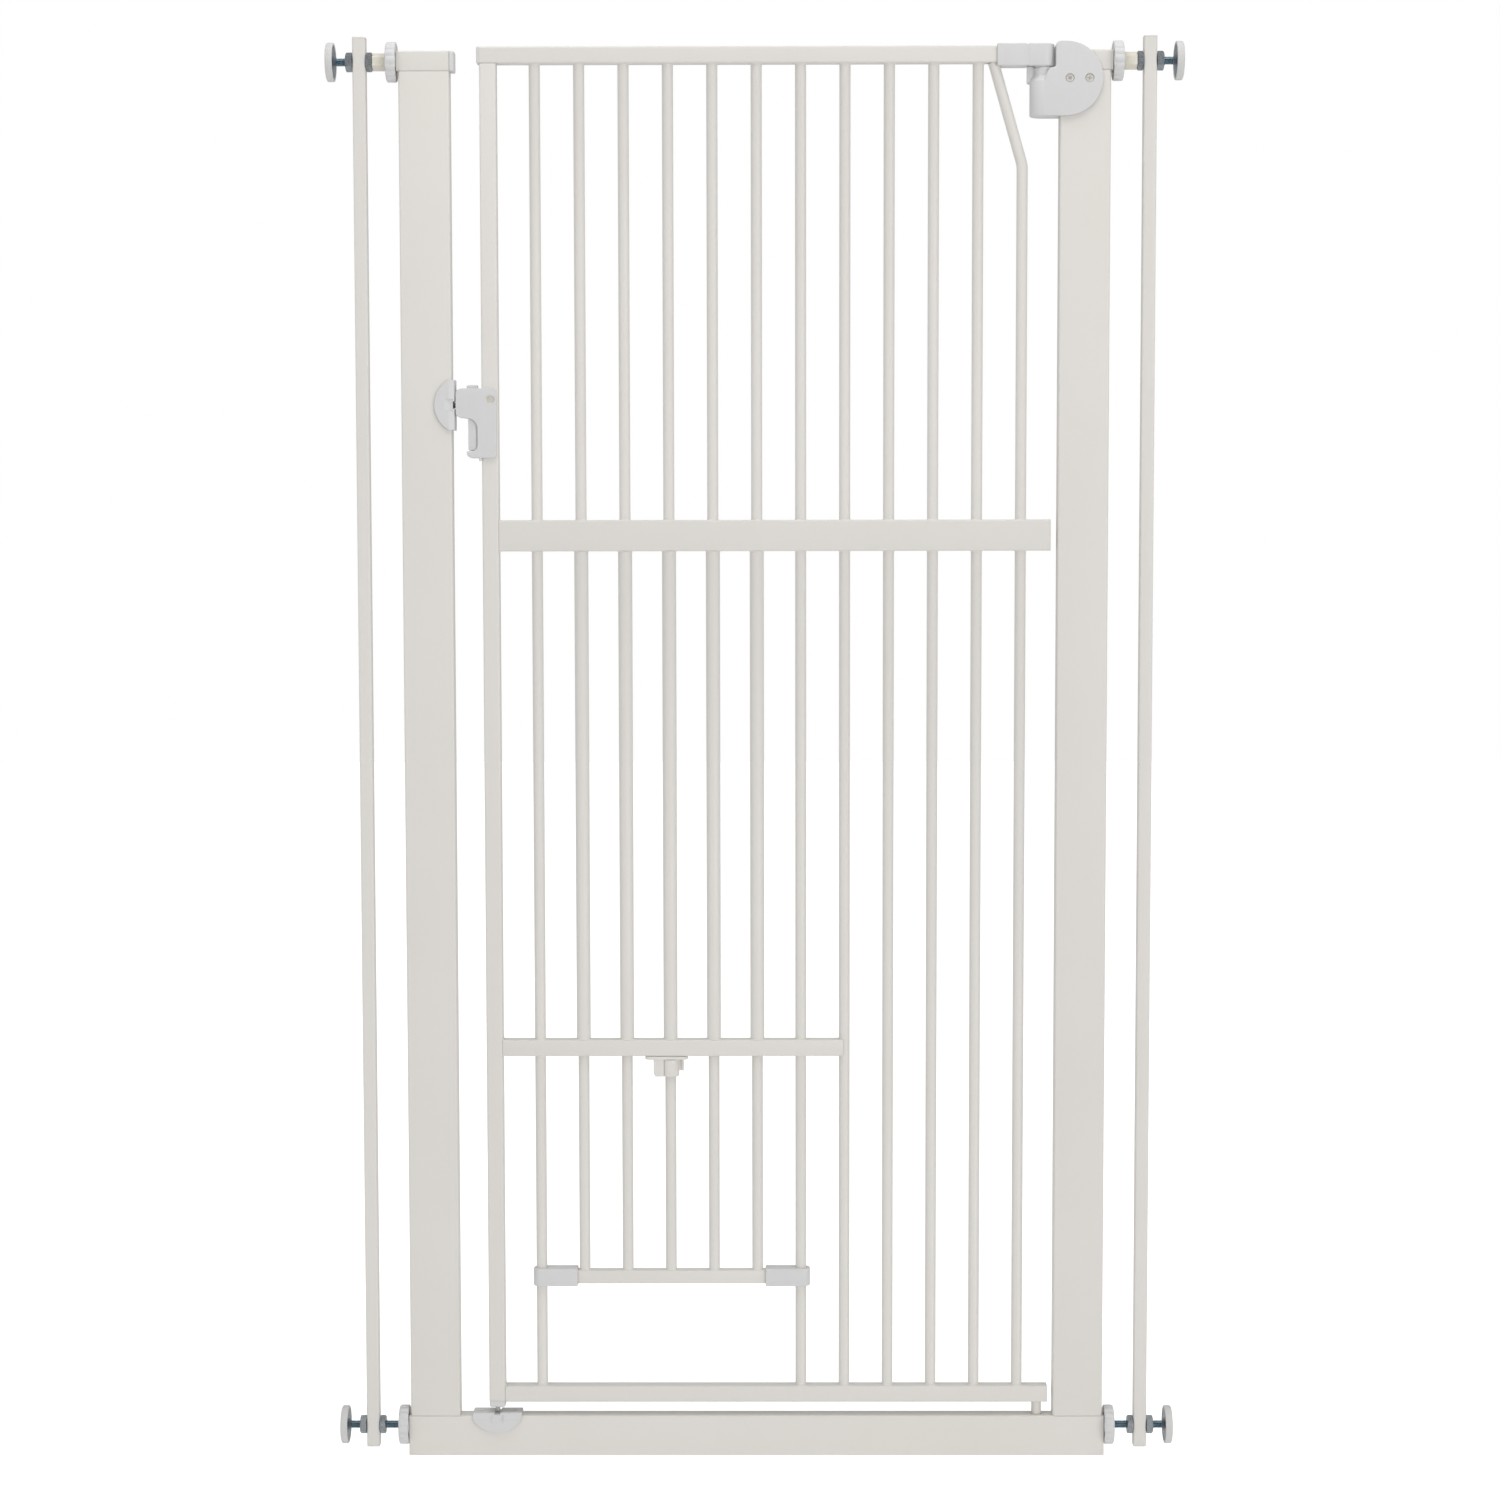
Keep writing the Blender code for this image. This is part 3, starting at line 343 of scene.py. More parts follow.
# ---------------------------------------------------------------- cap of the left head tube
# A push-in plug of white polypropylene closes the open end of the left head tube. Its flange is
# a hair larger than the tube and is crowned, with a soft moulded edge.


def moulded_group():
    """Injection-moulded plastic: spark-eroded grain, faint flow marks and a slow drift of tone."""
    tree, given, out = effect_group("moulded_grain", (0.8, 0.8, 0.8, 1.0), "Shade", (0.7, 0.7, 0.7, 1.0),
                                    "Grain Scale", 2200.0, (0.4, 0.55))
    place = tree.nodes.new("ShaderNodeTexCoord").outputs["Object"]
    cells = tree.nodes.new("ShaderNodeTexVoronoi")
    cells.feature = "SMOOTH_F1"
    tree.links.new(place, cells.inputs["Vector"])
    tree.links.new(given["Grain Scale"], cells.inputs["Scale"])
    stretched = tree.nodes.new("ShaderNodeMapping")
    stretched.inputs["Scale"].default_value = (1.0, 1.0, 0.25)
    tree.links.new(place, stretched.inputs["Vector"])
    flow = add_noise(tree, stretched.outputs["Vector"], 160.0, 3.0, 0.6)
    drift = add_noise(tree, place, 24.0, 2.0)
    mottle = add_range(tree, flow, 0.0, 0.16, 0.40, 0.75)
    toned = add_tint(tree, given["Colour"], given["Shade"], mottle)
    pits = add_range(tree, cells.outputs["Distance"], 0.12, 0.0, 0.0, 0.35)
    tree.links.new(add_tint(tree, toned, given["Shade"], pits), out["Colour"])
    rough = add_range(tree, drift, given["Low Roughness"], given["High Roughness"], 0.3, 0.7)
    tree.links.new(rough, out["Roughness"])
    tree.links.new(add_math(tree, "ADD", cells.outputs["Distance"], add_math(tree, "MULTIPLY", flow, 0.25)),
                   out["Height"])
    return tree


moulded_grain = moulded_group()
cool_white = (0.660, 0.660, 0.660, 1.0)
cool_shade = (0.605, 0.606, 0.610, 1.0)
white_plastic = finish_with("white_moulded_plastic", moulded_grain,
                            {"Colour": cool_white, "Shade": cool_shade, "Grain Scale": 1900.0,
                             "Low Roughness": 0.38, "High Roughness": 0.50},
                            0.12, 0.00008, IOR=1.49)
cap_low, cap_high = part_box("left_top_cap")
face_start = cap_low.x + 0.0103
stem = 0.0084
cap_rings = []
for place, inset in ((face_start, 0.0003), (face_start + 0.0003, 0.0), (cap_high.x - 0.0009, 0.0),
                     (cap_high.x - 0.0004, 0.0002), (cap_high.x - 0.0001, 0.0006), (cap_high.x, 0.0014),
                     (cap_high.x + 0.0001, 0.0050)):
    cap_rings.append(stand("x", round_outline((cap_low.y + inset, cap_low.z + inset),
                                              (cap_high.y - inset, cap_high.z - inset), 0.0022), place))
cap = skin(cap_rings)
skin([stand("x", round_outline((-stem, high_spindle_z - stem), (stem, high_spindle_z + stem), 0.001), place)
      for place in (cap_low.x, face_start + 0.0002)], cap)
fit(make_piece("left_tube_cap", cap, white_plastic), "frame", "grey_plastic", "left_top_cap")

# ---------------------------------------------------------------- latch keepers
# Two moulded saddles take the bolts: one on the left post, one on the threshold. Each is a slotted
# plate with half-moon cheeks that straddle the tube, held by two countersunk screws. A ramp up the
# middle of each cheek leads the bolt into the slot.
keeper_low, keeper_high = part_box("lower_keeper")
keeper_half = (keeper_high.x - keeper_low.x) / 2
keeper_x = (keeper_high.x + keeper_low.x) / 2
keeper_face = keeper_high.y
plate_top = keeper_high.z - rail_high.z
skirt = rail_high.z - keeper_low.z
notch_half = 0.006
straight_drop = 0.0028
shoulder_drop = 0.0060
notch_drop = 0.0088
slot_floor = 0.0011
saddle = rail_high.y + 0.0003


def cheek_depth(s):
    """How far the cheek runs down the tube at a distance along the keeper: straight, then a half-moon."""
    moon = skirt - straight_drop
    radius = (keeper_half ** 2 + moon ** 2) / (2 * moon)
    return straight_drop + math.sqrt(max(radius ** 2 - s ** 2, 0.0)) - (radius - moon)


def cheek_face(s, h):
    """Outer face of a cheek: flat below, rolling in towards the plate, ramped in the middle."""
    face = keeper_face
    shoulder_h = plate_top - shoulder_drop
    if h > shoulder_h:
        face -= 0.0024 * ((h - shoulder_h) / shoulder_drop) ** 1.25
    ramp_foot = plate_top - notch_drop
    if abs(s) < notch_half and h > ramp_foot:
        face = min(face, keeper_face - 0.0008 - 0.0030 * (h - ramp_foot) / notch_drop)
    return max(face, saddle + 0.0003)


def keeper_ring(s, top):
    """One slice across the saddle, from the inside of one cheek round to the inside of the other."""
    foot = -cheek_depth(s)
    half = [(saddle, foot + 0.0003), (saddle + 0.0004, foot), (cheek_face(s, foot) - 0.0006, foot),
            (cheek_face(s, foot) - 0.00015, foot + 0.0002)]
    levels = 16
    for k in range(levels + 1):
        h = foot + 0.0007 + (top - 0.0005 - foot - 0.0007) * k / levels
        half.append((cheek_face(s, h), h))
    edge = cheek_face(s, top)
    half += [(edge - 0.00015, top - 0.00015), (edge - 0.0006, top), (edge - 0.003, top)]
    front = [(s, -y, h) for y, h in half]
    back = [(s, y, h) for y, h in reversed(half)]
    return front + back + [(s, saddle, 0.0002), (s, -saddle, 0.0002)]


def keeper_saddle(name, to_place, slot_half):
    """A whole keeper, drawn level and then turned to the tube it is fixed on."""
    steps = [way * half + beside for way in (-1, 1) for half in (slot_half, notch_half)
             for beside in (-0.00004, 0.00004)]
    lines = [-keeper_half * math.cos(math.pi * i / 44) for i in range(45)]
    lines = [s for s in lines if min(abs(s - step) for step in steps) > 0.0004]
    saddle_mesh = skin([keeper_ring(s, slot_floor if abs(s) < slot_half else plate_top)
                        for s in sorted(lines + steps)])
    saddle_mesh.transform(to_place)
    return make_piece(name, saddle_mesh, white_plastic, crease=40)


def turned(profile, axis="z", middle=(0.0, 0.0), sides=40, closed_loop=False, bm=None):
    """Lathe work: profile is a list of (radius, distance along the axis)."""
    return skin([stand(axis, disc_outline(max(radius, 0.00001), middle, sides), distance)
                 for radius, distance in profile], bm, closed_loop)


def cross_screw(name, finish, radius, thickness, to_place, body, slot, dome=0.0):
    """A cross-recess screw head, drawn facing up at the origin and turned into place."""
    head = make_piece(name, turned([(radius * 0.55, -thickness), (radius * 0.97, -0.0002), (radius, 0.0),
                                    (radius * 0.93, dome * 0.45), (radius * 0.60, dome * 0.85),
                                    (radius * 0.25, dome)], sides=36), finish)
    arm, width, deep = radius * 0.62, radius * 0.13, radius * 0.45
    for turn in (0.0, math.pi / 2):
        recess = skin([[(reach, half, z), (-reach, half, z), (-reach, -half, z), (reach, -half, z)]
                       for reach, half, z in ((arm * 0.45, width * 0.6, dome - deep),
                                              (arm, width, dome + 0.0003))])
        recess.transform(Matrix.Rotation(turn, 4, "Z"))
        work(head, recess)
    head.data.transform(to_place)
    return fit(head, body, slot)


def plated_group():
    """Bright plating: tints that wander over the metal, rubbed spots and fine tool lines."""
    tree, given, out = effect_group("plating", (0.3, 0.35, 0.42, 1.0), "Tint", (0.2, 0.3, 0.4, 1.0),
                                    "Tint Scale", 260.0, (0.18, 0.36))
    place = tree.nodes.new("ShaderNodeTexCoord").outputs["Object"]
    cloud = add_noise(tree, place, given["Tint Scale"], 3.0, 0.6)
    lines = add_noise(tree, place, 5200.0, 1.0)
    rub = add_noise(tree, place, add_math(tree, "MULTIPLY", given["Tint Scale"], 3.1), 2.0)
    toned = add_tint(tree, given["Colour"], given["Tint"], add_range(tree, cloud, 0.0, 1.0, 0.38, 0.66))
    tree.links.new(toned, out["Colour"])
    rough = add_range(tree, rub, given["Low Roughness"], given["High Roughness"], 0.3, 0.7)
    tree.links.new(rough, out["Roughness"])
    tree.links.new(add_math(tree, "ADD", add_math(tree, "MULTIPLY", lines, 0.6), rub), out["Height"])
    return tree


plating = plated_group()
screw_metal = finish_with("nickel_screw", plating,
                          {"Colour": (0.70, 0.685, 0.64, 1.0), "Tint": (0.60, 0.575, 0.50, 1.0),
                           "Tint Scale": 900.0, "Low Roughness": 0.32, "High Roughness": 0.50},
                          0.15, 0.00004, Metallic=0.25)

inner_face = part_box("upper_keeper")
keeper_screw_reach = 0.0160
on_threshold = Matrix.Translation((keeper_x, 0.0, rail_high.z))
on_post = Matrix.Translation((inner_face[0].x + skirt, 0.0, (inner_face[0].z + inner_face[1].z) / 2)) \
    @ Matrix.Rotation(math.pi / 2, 4, "Y")
for word, to_place, slot_half in (("lower", on_threshold, 0.0029), ("upper", on_post, 0.0036)):
    keeper = keeper_saddle(word + "_keeper_saddle", to_place, slot_half)
    for number, s in enumerate((-keeper_screw_reach, keeper_screw_reach)):
        sink = turned([(0.0019, plate_top - 0.0025), (0.0021, plate_top - 0.0018),
                       (0.0036, plate_top - 0.0004), (0.0040, plate_top + 0.0004)], sides=36)
        sink.transform(to_place @ Matrix.Translation((s, 0.0, 0.0)))
        work(keeper, sink, crease=40)
        cross_screw(word + "_keeper_screw_%d" % (number + 1), screw_metal, 0.0031, 0.0012,
                    to_place @ Matrix.Translation((s, 0.0, plate_top - 0.0010)),
                    "frame", "grey_plastic", 0.0004)
    fit(keeper, "frame", "grey_plastic", word + "_keeper")

# ---------------------------------------------------------------- hinge case
# A D-shaped moulding clasps the top of the right post and holds the barrel of the upper hinge.
# Its two halves are drawn together through the post by two cross-head screws, sunk in round wells,
# and a curved guard stands round the left side of the barrel's neck.
case_low, case_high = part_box("hinge_case")
bow_radius = (case_high.z - case_low.z) / 2
bow_x, bow_z = case_high.x - bow_radius, (case_high.z + case_low.z) / 2
case_inner = 0.2956
case_depth = -case_low.y
barrel_top = 1.3758
neck_top = 1.3890
boss_bottom = 1.3893
boss_radius = 0.0092
case_screw_z = 1.3778
case_round = 0.0046


def arc(middle, radius, start, end, steps=8):
    """Points along an arc between two angles in degrees."""
    angles = [math.radians(start + (end - start) * step / steps) for step in range(steps + 1)]
    return [(middle[0] + radius * math.cos(angle), middle[1] + radius * math.sin(angle)) for angle in angles]


def slab(axis, outline, start, end, *edge):
    """A flat outline given a thickness along an axis; edge is how its corners are rounded."""
    bm = skin([stand(axis, outline, start), stand(axis, outline, end)])
    return soften(bm, *edge) if edge else bm


outline = arc((bow_x, bow_z), bow_radius, -90, 90, 40)
outline += arc((case_inner + case_round, case_high.z - case_round), case_round, 90, 180, 6)
outline += [(case_inner, 1.3898), (case_inner - 0.0010, 1.3886), (hinge_x + 0.0072, 1.3882),
            (hinge_x + 0.0052, 1.3872), (hinge_x + 0.0036, 1.3850), (hinge_x + 0.0022, 1.3815),
            (hinge_x, barrel_top + 0.0012), (hinge_x, case_low.z)]
case = make_piece("hinge_case_shell", slab("y", outline, -case_depth, case_depth, 0.0011, 4), white_plastic)
barrel = [(case_depth - 0.0012, case_low.z), (case_depth - 0.0004, case_low.z + 0.0004),
          (case_depth, case_low.z + 0.0012), (case_depth, barrel_top - 0.0008),
          (case_depth - 0.0003, barrel_top), (boss_radius + 0.0012, barrel_top + 0.0034),
          (boss_radius + 0.0003, barrel_top + 0.0043), (boss_radius, barrel_top + 0.0055),
          (boss_radius, neck_top - 0.0005), (boss_radius - 0.0004, neck_top)]
work(case, turned(barrel, middle=(hinge_x, 0.0), sides=56), "UNION")
guard_outer, guard_inner, guard_low, guard_high = 0.0164, boss_radius - 0.0008, 1.3741, 1.3900
guard_step = boss_radius + 0.0005
section = [(guard_inner, guard_low), (guard_outer, guard_low), (guard_outer, guard_high),
           (guard_step, guard_high), (guard_step, neck_top - 0.0003), (guard_inner, neck_top - 0.0003)]
guard_start, guard_sweep = 104, 85
rings = []
for step in range(25):
    angle = math.radians(guard_start + guard_sweep * step / 24)
    rings.append([(hinge_x + r * math.cos(angle), r * math.sin(angle), z) for r, z in section])
work(case, soften(skin(rings), 0.0002, 2, 40), "UNION")
work(case, slab("z", disc_outline(0.0044, (hinge_x, 0.0), 32), 1.349, 1.400))
grip = rail_high.y + 0.0003
grip_x, grip_top = 0.2997, 1.4063
space = [(grip_x, 1.30), (0.37, 1.30), (0.37, grip_top), (grip_x, grip_top)]
work(case, slab("y", space, -grip, grip))
for number, well_x in enumerate((0.3092, 0.3286)):
    for face in (-1, 1):
        well = turned([(0.0041, face * (case_depth - 0.0024)), (0.0042, face * (case_depth - 0.0006)),
                       (0.0047, face * (case_depth + 0.0002))], "y", (well_x, case_screw_z), 40)
        work(case, well)
    cross_screw("hinge_case_screw_%d" % (number + 1), screw_metal, 0.0039, 0.001,
                Matrix.Translation((well_x, -case_depth + 0.0014, case_screw_z))
                @ Matrix.Rotation(math.pi / 2, 4, "X") @ Matrix.Rotation(0.5 + number, 4, "Z"),
                "frame", "grey_plastic", 0.0003)
    nut_ring = turned([(0.0034, case_depth - 0.0022), (0.0034, case_depth - 0.0012),
                       (0.0030, case_depth - 0.0008)], "y", (well_x, case_screw_z), 6)
    fit(make_piece("hinge_case_nut_%d" % (number + 1), nut_ring, screw_metal), "frame", "grey_plastic")
fit(case, "frame", "grey_plastic", "hinge_case")

# ---------------------------------------------------------------- side bars
# Slim square uprights, 13 mm, stand outside the posts and fill the gap to the wall. The tube is
# closed by a pressed-in plate at each end, and the spindles pass through near the ends.
for word in ("left", "right"):
    bar_low, bar_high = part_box("side_bar_" + word)
    bar = make_piece("side_bar_tube_" + word, skin(tube_rings(
        "z", (bar_low.x, bar_low.y), (bar_high.x, bar_high.y), 0.0016, bar_low.z, bar_high.z, 0.0006,
        seams=(bar_low.z + 0.0016, bar_high.z - 0.0016))), tube_paint)
    fit(bar, word + "_extension", "frame_paint", "side_bar_" + word)

# ---------------------------------------------------------------- spindles and lock nuts
# Each wall fixing is an M8 rod with a rolled thread, blue-passivated zinc like its nuts. A nut on
# either side locks the side bar, and the rod runs on to the pad against the wall.
blue_zinc = finish_with("blue_zinc_plate", plating,
                        {"Colour": (0.250, 0.290, 0.325, 1.0), "Tint": (0.345, 0.355, 0.360, 1.0),
                         "Tint Scale": 240.0, "Low Roughness": 0.20, "High Roughness": 0.38},
                        0.20, 0.00004, Metallic=1.0)
thread_zinc = finish_with("blue_zinc_thread", plating,
                          {"Colour": (0.170, 0.250, 0.310, 1.0), "Tint": (0.270, 0.350, 0.400, 1.0),
                           "Tint Scale": 300.0, "Low Roughness": 0.14, "High Roughness": 0.28},
                          0.20, 0.00004, Metallic=1.0)
thread_pitch = 0.00125
thread_root = 0.00335


def threaded_rod(start, end, radius, z):
    """A rolled thread as one long helix, with a short chamfer at each end."""
    bm = bmesh.new()
    segments = 20
    turns = int((end - start) / thread_pitch) - 1
    steps = turns * segments
    flanks = ((0.00, thread_root), (0.40, radius), (0.58, radius), (0.92, thread_root))
    rows = []
    for i in range(steps + 1):
        angle = 2 * math.pi * i / segments
        base = start + thread_pitch * i / segments
        fade = min(1.0, i / segments, (steps - i) / segments)
        row = []
        for share, r in flanks:
            r = thread_root + (r - thread_root) * fade
            row.append(bm.verts.new((base + share * thread_pitch, r * math.cos(angle),
                                     z + r * math.sin(angle))))
        rows.append(row)
    for i in range(steps):
        for k in range(3):
            bm.faces.new((rows[i][k], rows[i][k + 1], rows[i + 1][k + 1], rows[i + 1][k]))
        if i + segments + 1 <= steps:
            bm.faces.new((rows[i][3], rows[i + segments][0], rows[i + segments + 1][0], rows[i + 1][3]))
    first = bm.verts.new((start, 0.0, z))
    last = bm.verts.new((start + thread_pitch * (turns + 0.92), 0.0, z))
    for i in range(segments):
        bm.faces.new((first, rows[i + 1][0], rows[i][0]))
        bm.faces.new((last, rows[steps - segments + i][3], rows[steps - segments + i + 1][3]))
    bm.faces.new([first, rows[0][0], rows[0][1], rows[0][2], rows[0][3], rows[segments][0]])
    bm.faces.new([last] + [rows[steps][k] for k in (3, 2, 1, 0)] + [rows[steps - segments][3]])
    return bm


def lock_nut(name, corner, low, high, z):
    """A hexagon nut with both faces chamfered and a bore for the thread."""
    nut = make_piece(name, slab("x", disc_outline(corner, (0.0, z), 6, math.pi / 2), low, high), blue_zinc)
    flat = corner * math.cos(math.pi / 6)
    drop = (corner - flat) * 0.60
    work(nut, turned([(flat * 0.985, low), (corner * 1.001, low + drop), (corner * 1.001, high - drop),
                      (flat * 0.985, high)], "x", (0.0, z), 72), "INTERSECT", crease=20)
    work(nut, turned([(0.0050, low - 0.001), (0.0050, low), (0.0041, low + 0.0007), (0.0041, high - 0.0007),
                      (0.0050, high), (0.0050, high + 0.001)], "x", (0.0, z), 32), crease=20)
    return nut


for word in ("left", "right"):
    for level in ("top", "bottom"):
        tag = word + "_" + level
        rod_low, rod_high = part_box("spindle_" + tag)
        z = (rod_low.z + rod_high.z) / 2
        rod = make_piece("threaded_rod_" + tag, threaded_rod(rod_low.x, rod_high.x, rod_high.y, z),
                         thread_zinc, 24)
        fit(rod, word + "_extension", "zinc", "spindle_" + tag)
        for kind in ("inner_nut_", "outer_nut_"):
            nut_low, nut_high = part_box(kind + tag)
            nut = lock_nut(kind + "hexagon_" + tag, (nut_high.z - nut_low.z) / 2, nut_low.x, nut_high.x, z)
            fit(nut, word + "_extension", "zinc", kind + tag)

# ---------------------------------------------------------------- spacer sleeves
# A cream acetal hexagon sits on each upper spindle between the wheel and the inner nut, so the
# nut can't bind the wheel. It is slightly glossy and its mould left softly rounded corners.
cream = finish_with("cream_acetal", moulded_grain,
                    {"Colour": (0.735, 0.700, 0.605, 1.0), "Shade": (0.660, 0.615, 0.505, 1.0),
                     "Grain Scale": 900.0, "Low Roughness": 0.22, "High Roughness": 0.34},
                    0.06, 0.00006, IOR=1.48, Coat_Weight=0.25, Coat_Roughness=0.15)
for word in ("left", "right"):
    low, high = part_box("spacer_sleeve_" + word)
    hexagon = disc_outline((high.z - low.z) / 2, (0.0, high_spindle_z), 6, math.pi / 2)
    sleeve = make_piece("hex_spacer_" + word, slab("x", hexagon, low.x, high.x, 0.0006, 3), cream)
    work(sleeve, slab("x", disc_outline(0.0043, (0.0, high_spindle_z), 32), low.x - 0.001, high.x + 0.001))
    fit(sleeve, word + "_extension", "cream_plastic", "spacer_sleeve_" + word)

# ---------------------------------------------------------------- adjusting wheels
# Hand wheels moulded round a brass insert drive the spindles out. Sixteen rounded lobes give the
# fingers a hold, and the outer face is dished round a raised hub.


lobes = 16
lobe_depth = 0.0010
count = 12 * lobes


def lobed_rim(radius, z):
    """Outline of the rim, dipping in between the lobes."""
    points = []
    for i in range(count):
        angle = 2 * math.pi * i / count
        out = radius - lobe_depth * (1 - abs(math.cos(lobes * angle / 2)) ** 0.8)
        points.append((out * math.cos(angle), z + out * math.sin(angle)))
    return points


for word, side in (("left", -1), ("right", 1)):
    for level in ("top", "bottom"):
        tag = word + "_" + level
        low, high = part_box("wheel_" + tag)
        z = (low.z + high.z) / 2
        radius = (high.z - low.z) / 2
        inner_x, outer_x = (high.x, low.x) if side < 0 else (low.x, high.x)
        thickness = abs(outer_x - inner_x)
        rings = []
        for r, along in ((0.0043, 0.0), (0.0100, 0.0), (0.0104, 0.0006), (radius - 0.0042, 0.0006),
                         (radius - 0.0036, 0.0)):
            rings.append(stand("x", disc_outline(r, (0.0, z), count), inner_x + side * along))
        for inset, along in ((0.0011, 0.0), (0.0004, 0.0003), (0.0, 0.0010), (0.0, thickness - 0.0014),
                             (0.0005, thickness - 0.0004), (0.0013, thickness)):
            rings.append(stand("x", lobed_rim(radius - inset, z), inner_x + side * along))
        for r, along in ((radius - 0.0038, thickness), (radius - 0.0044, thickness - 0.0004),
                         (radius - 0.0048, thickness - 0.0016), (0.0098, thickness - 0.0016),
                         (0.0092, thickness - 0.0012), (0.0088, thickness - 0.0003), (0.0083, thickness),
                         (0.0048, thickness), (0.0043, thickness - 0.0005)):
            rings.append(stand("x", disc_outline(r, (0.0, z), count), inner_x + side * along))
        wheel = make_piece("hand_wheel_" + tag, skin(rings, closed_loop=True), white_plastic, 30)
        fit(wheel, "wheel_" + tag, "grey_plastic", "wheel_" + tag)

# ---------------------------------------------------------------- wall pads
# A zinc-plated steel disc is riveted on the end of each spindle and dressed with a white rubber
# cup that grips the wall. The cup laps over the edge of the disc and is ribbed on its face.
pad_steel = finish_with("pad_disc_zinc", plating,
                        {"Colour": (0.200, 0.235, 0.275, 1.0), "Tint": (0.270, 0.295, 0.325, 1.0),
                         "Tint Scale": 190.0, "Low Roughness": 0.30, "High Roughness": 0.48},
                        0.25, 0.00005, Metallic=0.85)
pad_rubber = finish_with("white_pad_rubber", moulded_grain,
                         {"Colour": (0.630, 0.628, 0.615, 1.0), "Shade": (0.560, 0.556, 0.540, 1.0),
                          "Grain Scale": 1300.0, "Low Roughness": 0.62, "High Roughness": 0.80},
                         0.35, 0.00012, IOR=1.4)
cup_in = 0.0002
for word, side in (("left", -1), ("right", 1)):
    for level in ("top", "bottom"):
        tag = word + "_" + level
        low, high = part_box("wall_pad_" + tag)
        z = (low.z + high.z) / 2
        radius = (high.z - low.z) / 2
        inner_x, outer_x = (high.x, low.x) if side < 0 else (low.x, high.x)
        deep = abs(outer_x - inner_x)
        profile = [(radius - 0.0028, cup_in + 0.0010), (radius - 0.0027, cup_in + 0.0003),
                   (radius - 0.0021, cup_in), (radius - 0.0008, cup_in), (radius - 0.0002, cup_in + 0.0003),
                   (radius, cup_in + 0.0010), (radius, deep - 0.0016), (radius - 0.0004, deep - 0.0005),
                   (radius - 0.0013, deep)]
        for rib in range(4):
            r = radius - 0.0035 - rib * 0.0035
            profile += [(r + 0.0005, deep), (r, deep - 0.0007), (r - 0.0008, deep - 0.0007),
                        (r - 0.0013, deep)]
        profile += [(0.0001, deep), (0.0001, cup_in + 0.0015), (radius - 0.0028, cup_in + 0.0014)]
        cup = make_piece("pad_cup_" + tag, turned([(r, inner_x + side * along) for r, along in profile],
                                                  "x", (0.0, z), 72, closed_loop=True), pad_rubber)
        fit(cup, word + "_extension", "pad_rubber", "wall_pad_" + tag)
        disc = [(0.0001, cup_in + 0.0015), (radius - 0.0029, cup_in + 0.0015),
                (radius - 0.0029, cup_in + 0.0006), (radius - 0.0034, cup_in + 0.0004),
                (radius - 0.0075, cup_in + 0.0006), (0.0078, cup_in + 0.0004), (0.0060, cup_in - 0.0004),
                (0.0052, cup_in - 0.0016), (0.0046, cup_in - 0.0019), (0.0001, cup_in - 0.0019)]
        plate = turned([(r, inner_x + side * along) for r, along in disc], "x", (0.0, z), 64)
        fit(make_piece("pad_disc_" + tag, plate, pad_steel), word + "_extension", "zinc")

# ---------------------------------------------------------------- door stile and rails
# The door is welded from 16.5 mm square tube: a stile on the latch side, a top rail laid over it,
# a deeper middle rail, a short rail over the cat door and a bottom rail that carries the foot pin.
stile_low, stile_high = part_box("latch_stile")
top_low, top_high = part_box("top_rail")
stile_x = (stile_low.x + stile_high.x) / 2
door_half = (stile_high.x - stile_low.x) / 2
bar_radius = 0.0055
bar_clearance = 0.0058
bolt_way = disc_outline(0.0030, (stile_x, 0.0), 24)
bolt_way_top = 0.110
stile = make_piece("stile_tube", skin(tube_rings(
    "z", (stile_low.x, stile_low.y), (stile_high.x, stile_high.y), tube_corner,
    stile_low.z, stile_high.z + 0.0003, 0.0003)), tube_paint)
work(stile, slab("z", bolt_way, stile_low.z - past, bolt_way_top))
fit(stile, "door", "frame_paint", "latch_stile")


def middle_of(node):
    """Where a bar of the door stands, seen from above."""
    low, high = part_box(node)
    return ((low.x + high.x) / 2, 0.0)


for node, name, closed in (("top_rail", "top_rail_tube", ()), ("mid_rail", "middle_rail_tube", (0.0012,)),
                           ("cat_rail", "cat_rail_tube", ()), ("bottom_rail", "bottom_rail_tube", (0.0012,))):
    low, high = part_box(node)
    foot = high.z - 2 * door_half if node == "bottom_rail" else low.z
    start = low.x if node == "top_rail" else low.x - 0.0003
    seams = [high.x - wall for wall in closed]
    rail = make_piece(name, skin(tube_rings("x", (low.y, foot), (high.y, high.z), tube_corner, start, high.x,
                                            0.0004, seams)), tube_paint)
    if node == "cat_rail":
        for index in range(1, 6):
            hole = disc_outline(bar_clearance, middle_of("bar_%02d" % (index + 1)), 32)
            work(rail, slab("z", hole, foot - past, high.z + past))
    if node == "bottom_rail":
        pin = turned([(0.0040, low.z), (0.0050, low.z + 0.0010), (0.0050, foot - 0.0012),
                      (0.0054, foot - 0.0004), (0.0062, foot + 0.0001), (0.0062, foot + 0.0006)],
                     middle=(hinge_x, 0.0))
        fit(make_piece("foot_pin", pin, tube_paint), "door", "frame_paint")
    if node != "top_rail":
        bead = skin([stand("x", round_outline((low.y - out, foot - out), (high.y + out, high.z + out),
                                              0.0021 + out), stile_high.x + along)
                     for along, out in ((-0.0001, 0.0009), (0.0004, 0.0004), (0.0012, 0.0))])
        half_width = door_half - 0.0004
        for vert in bead.verts:
            vert.co.y = max(-half_width, min(half_width, vert.co.y))
        fit(make_piece(name.replace("tube", "weld"), bead, tube_paint), "door", "frame_paint")
    fit(rail, "door", "frame_paint", node)

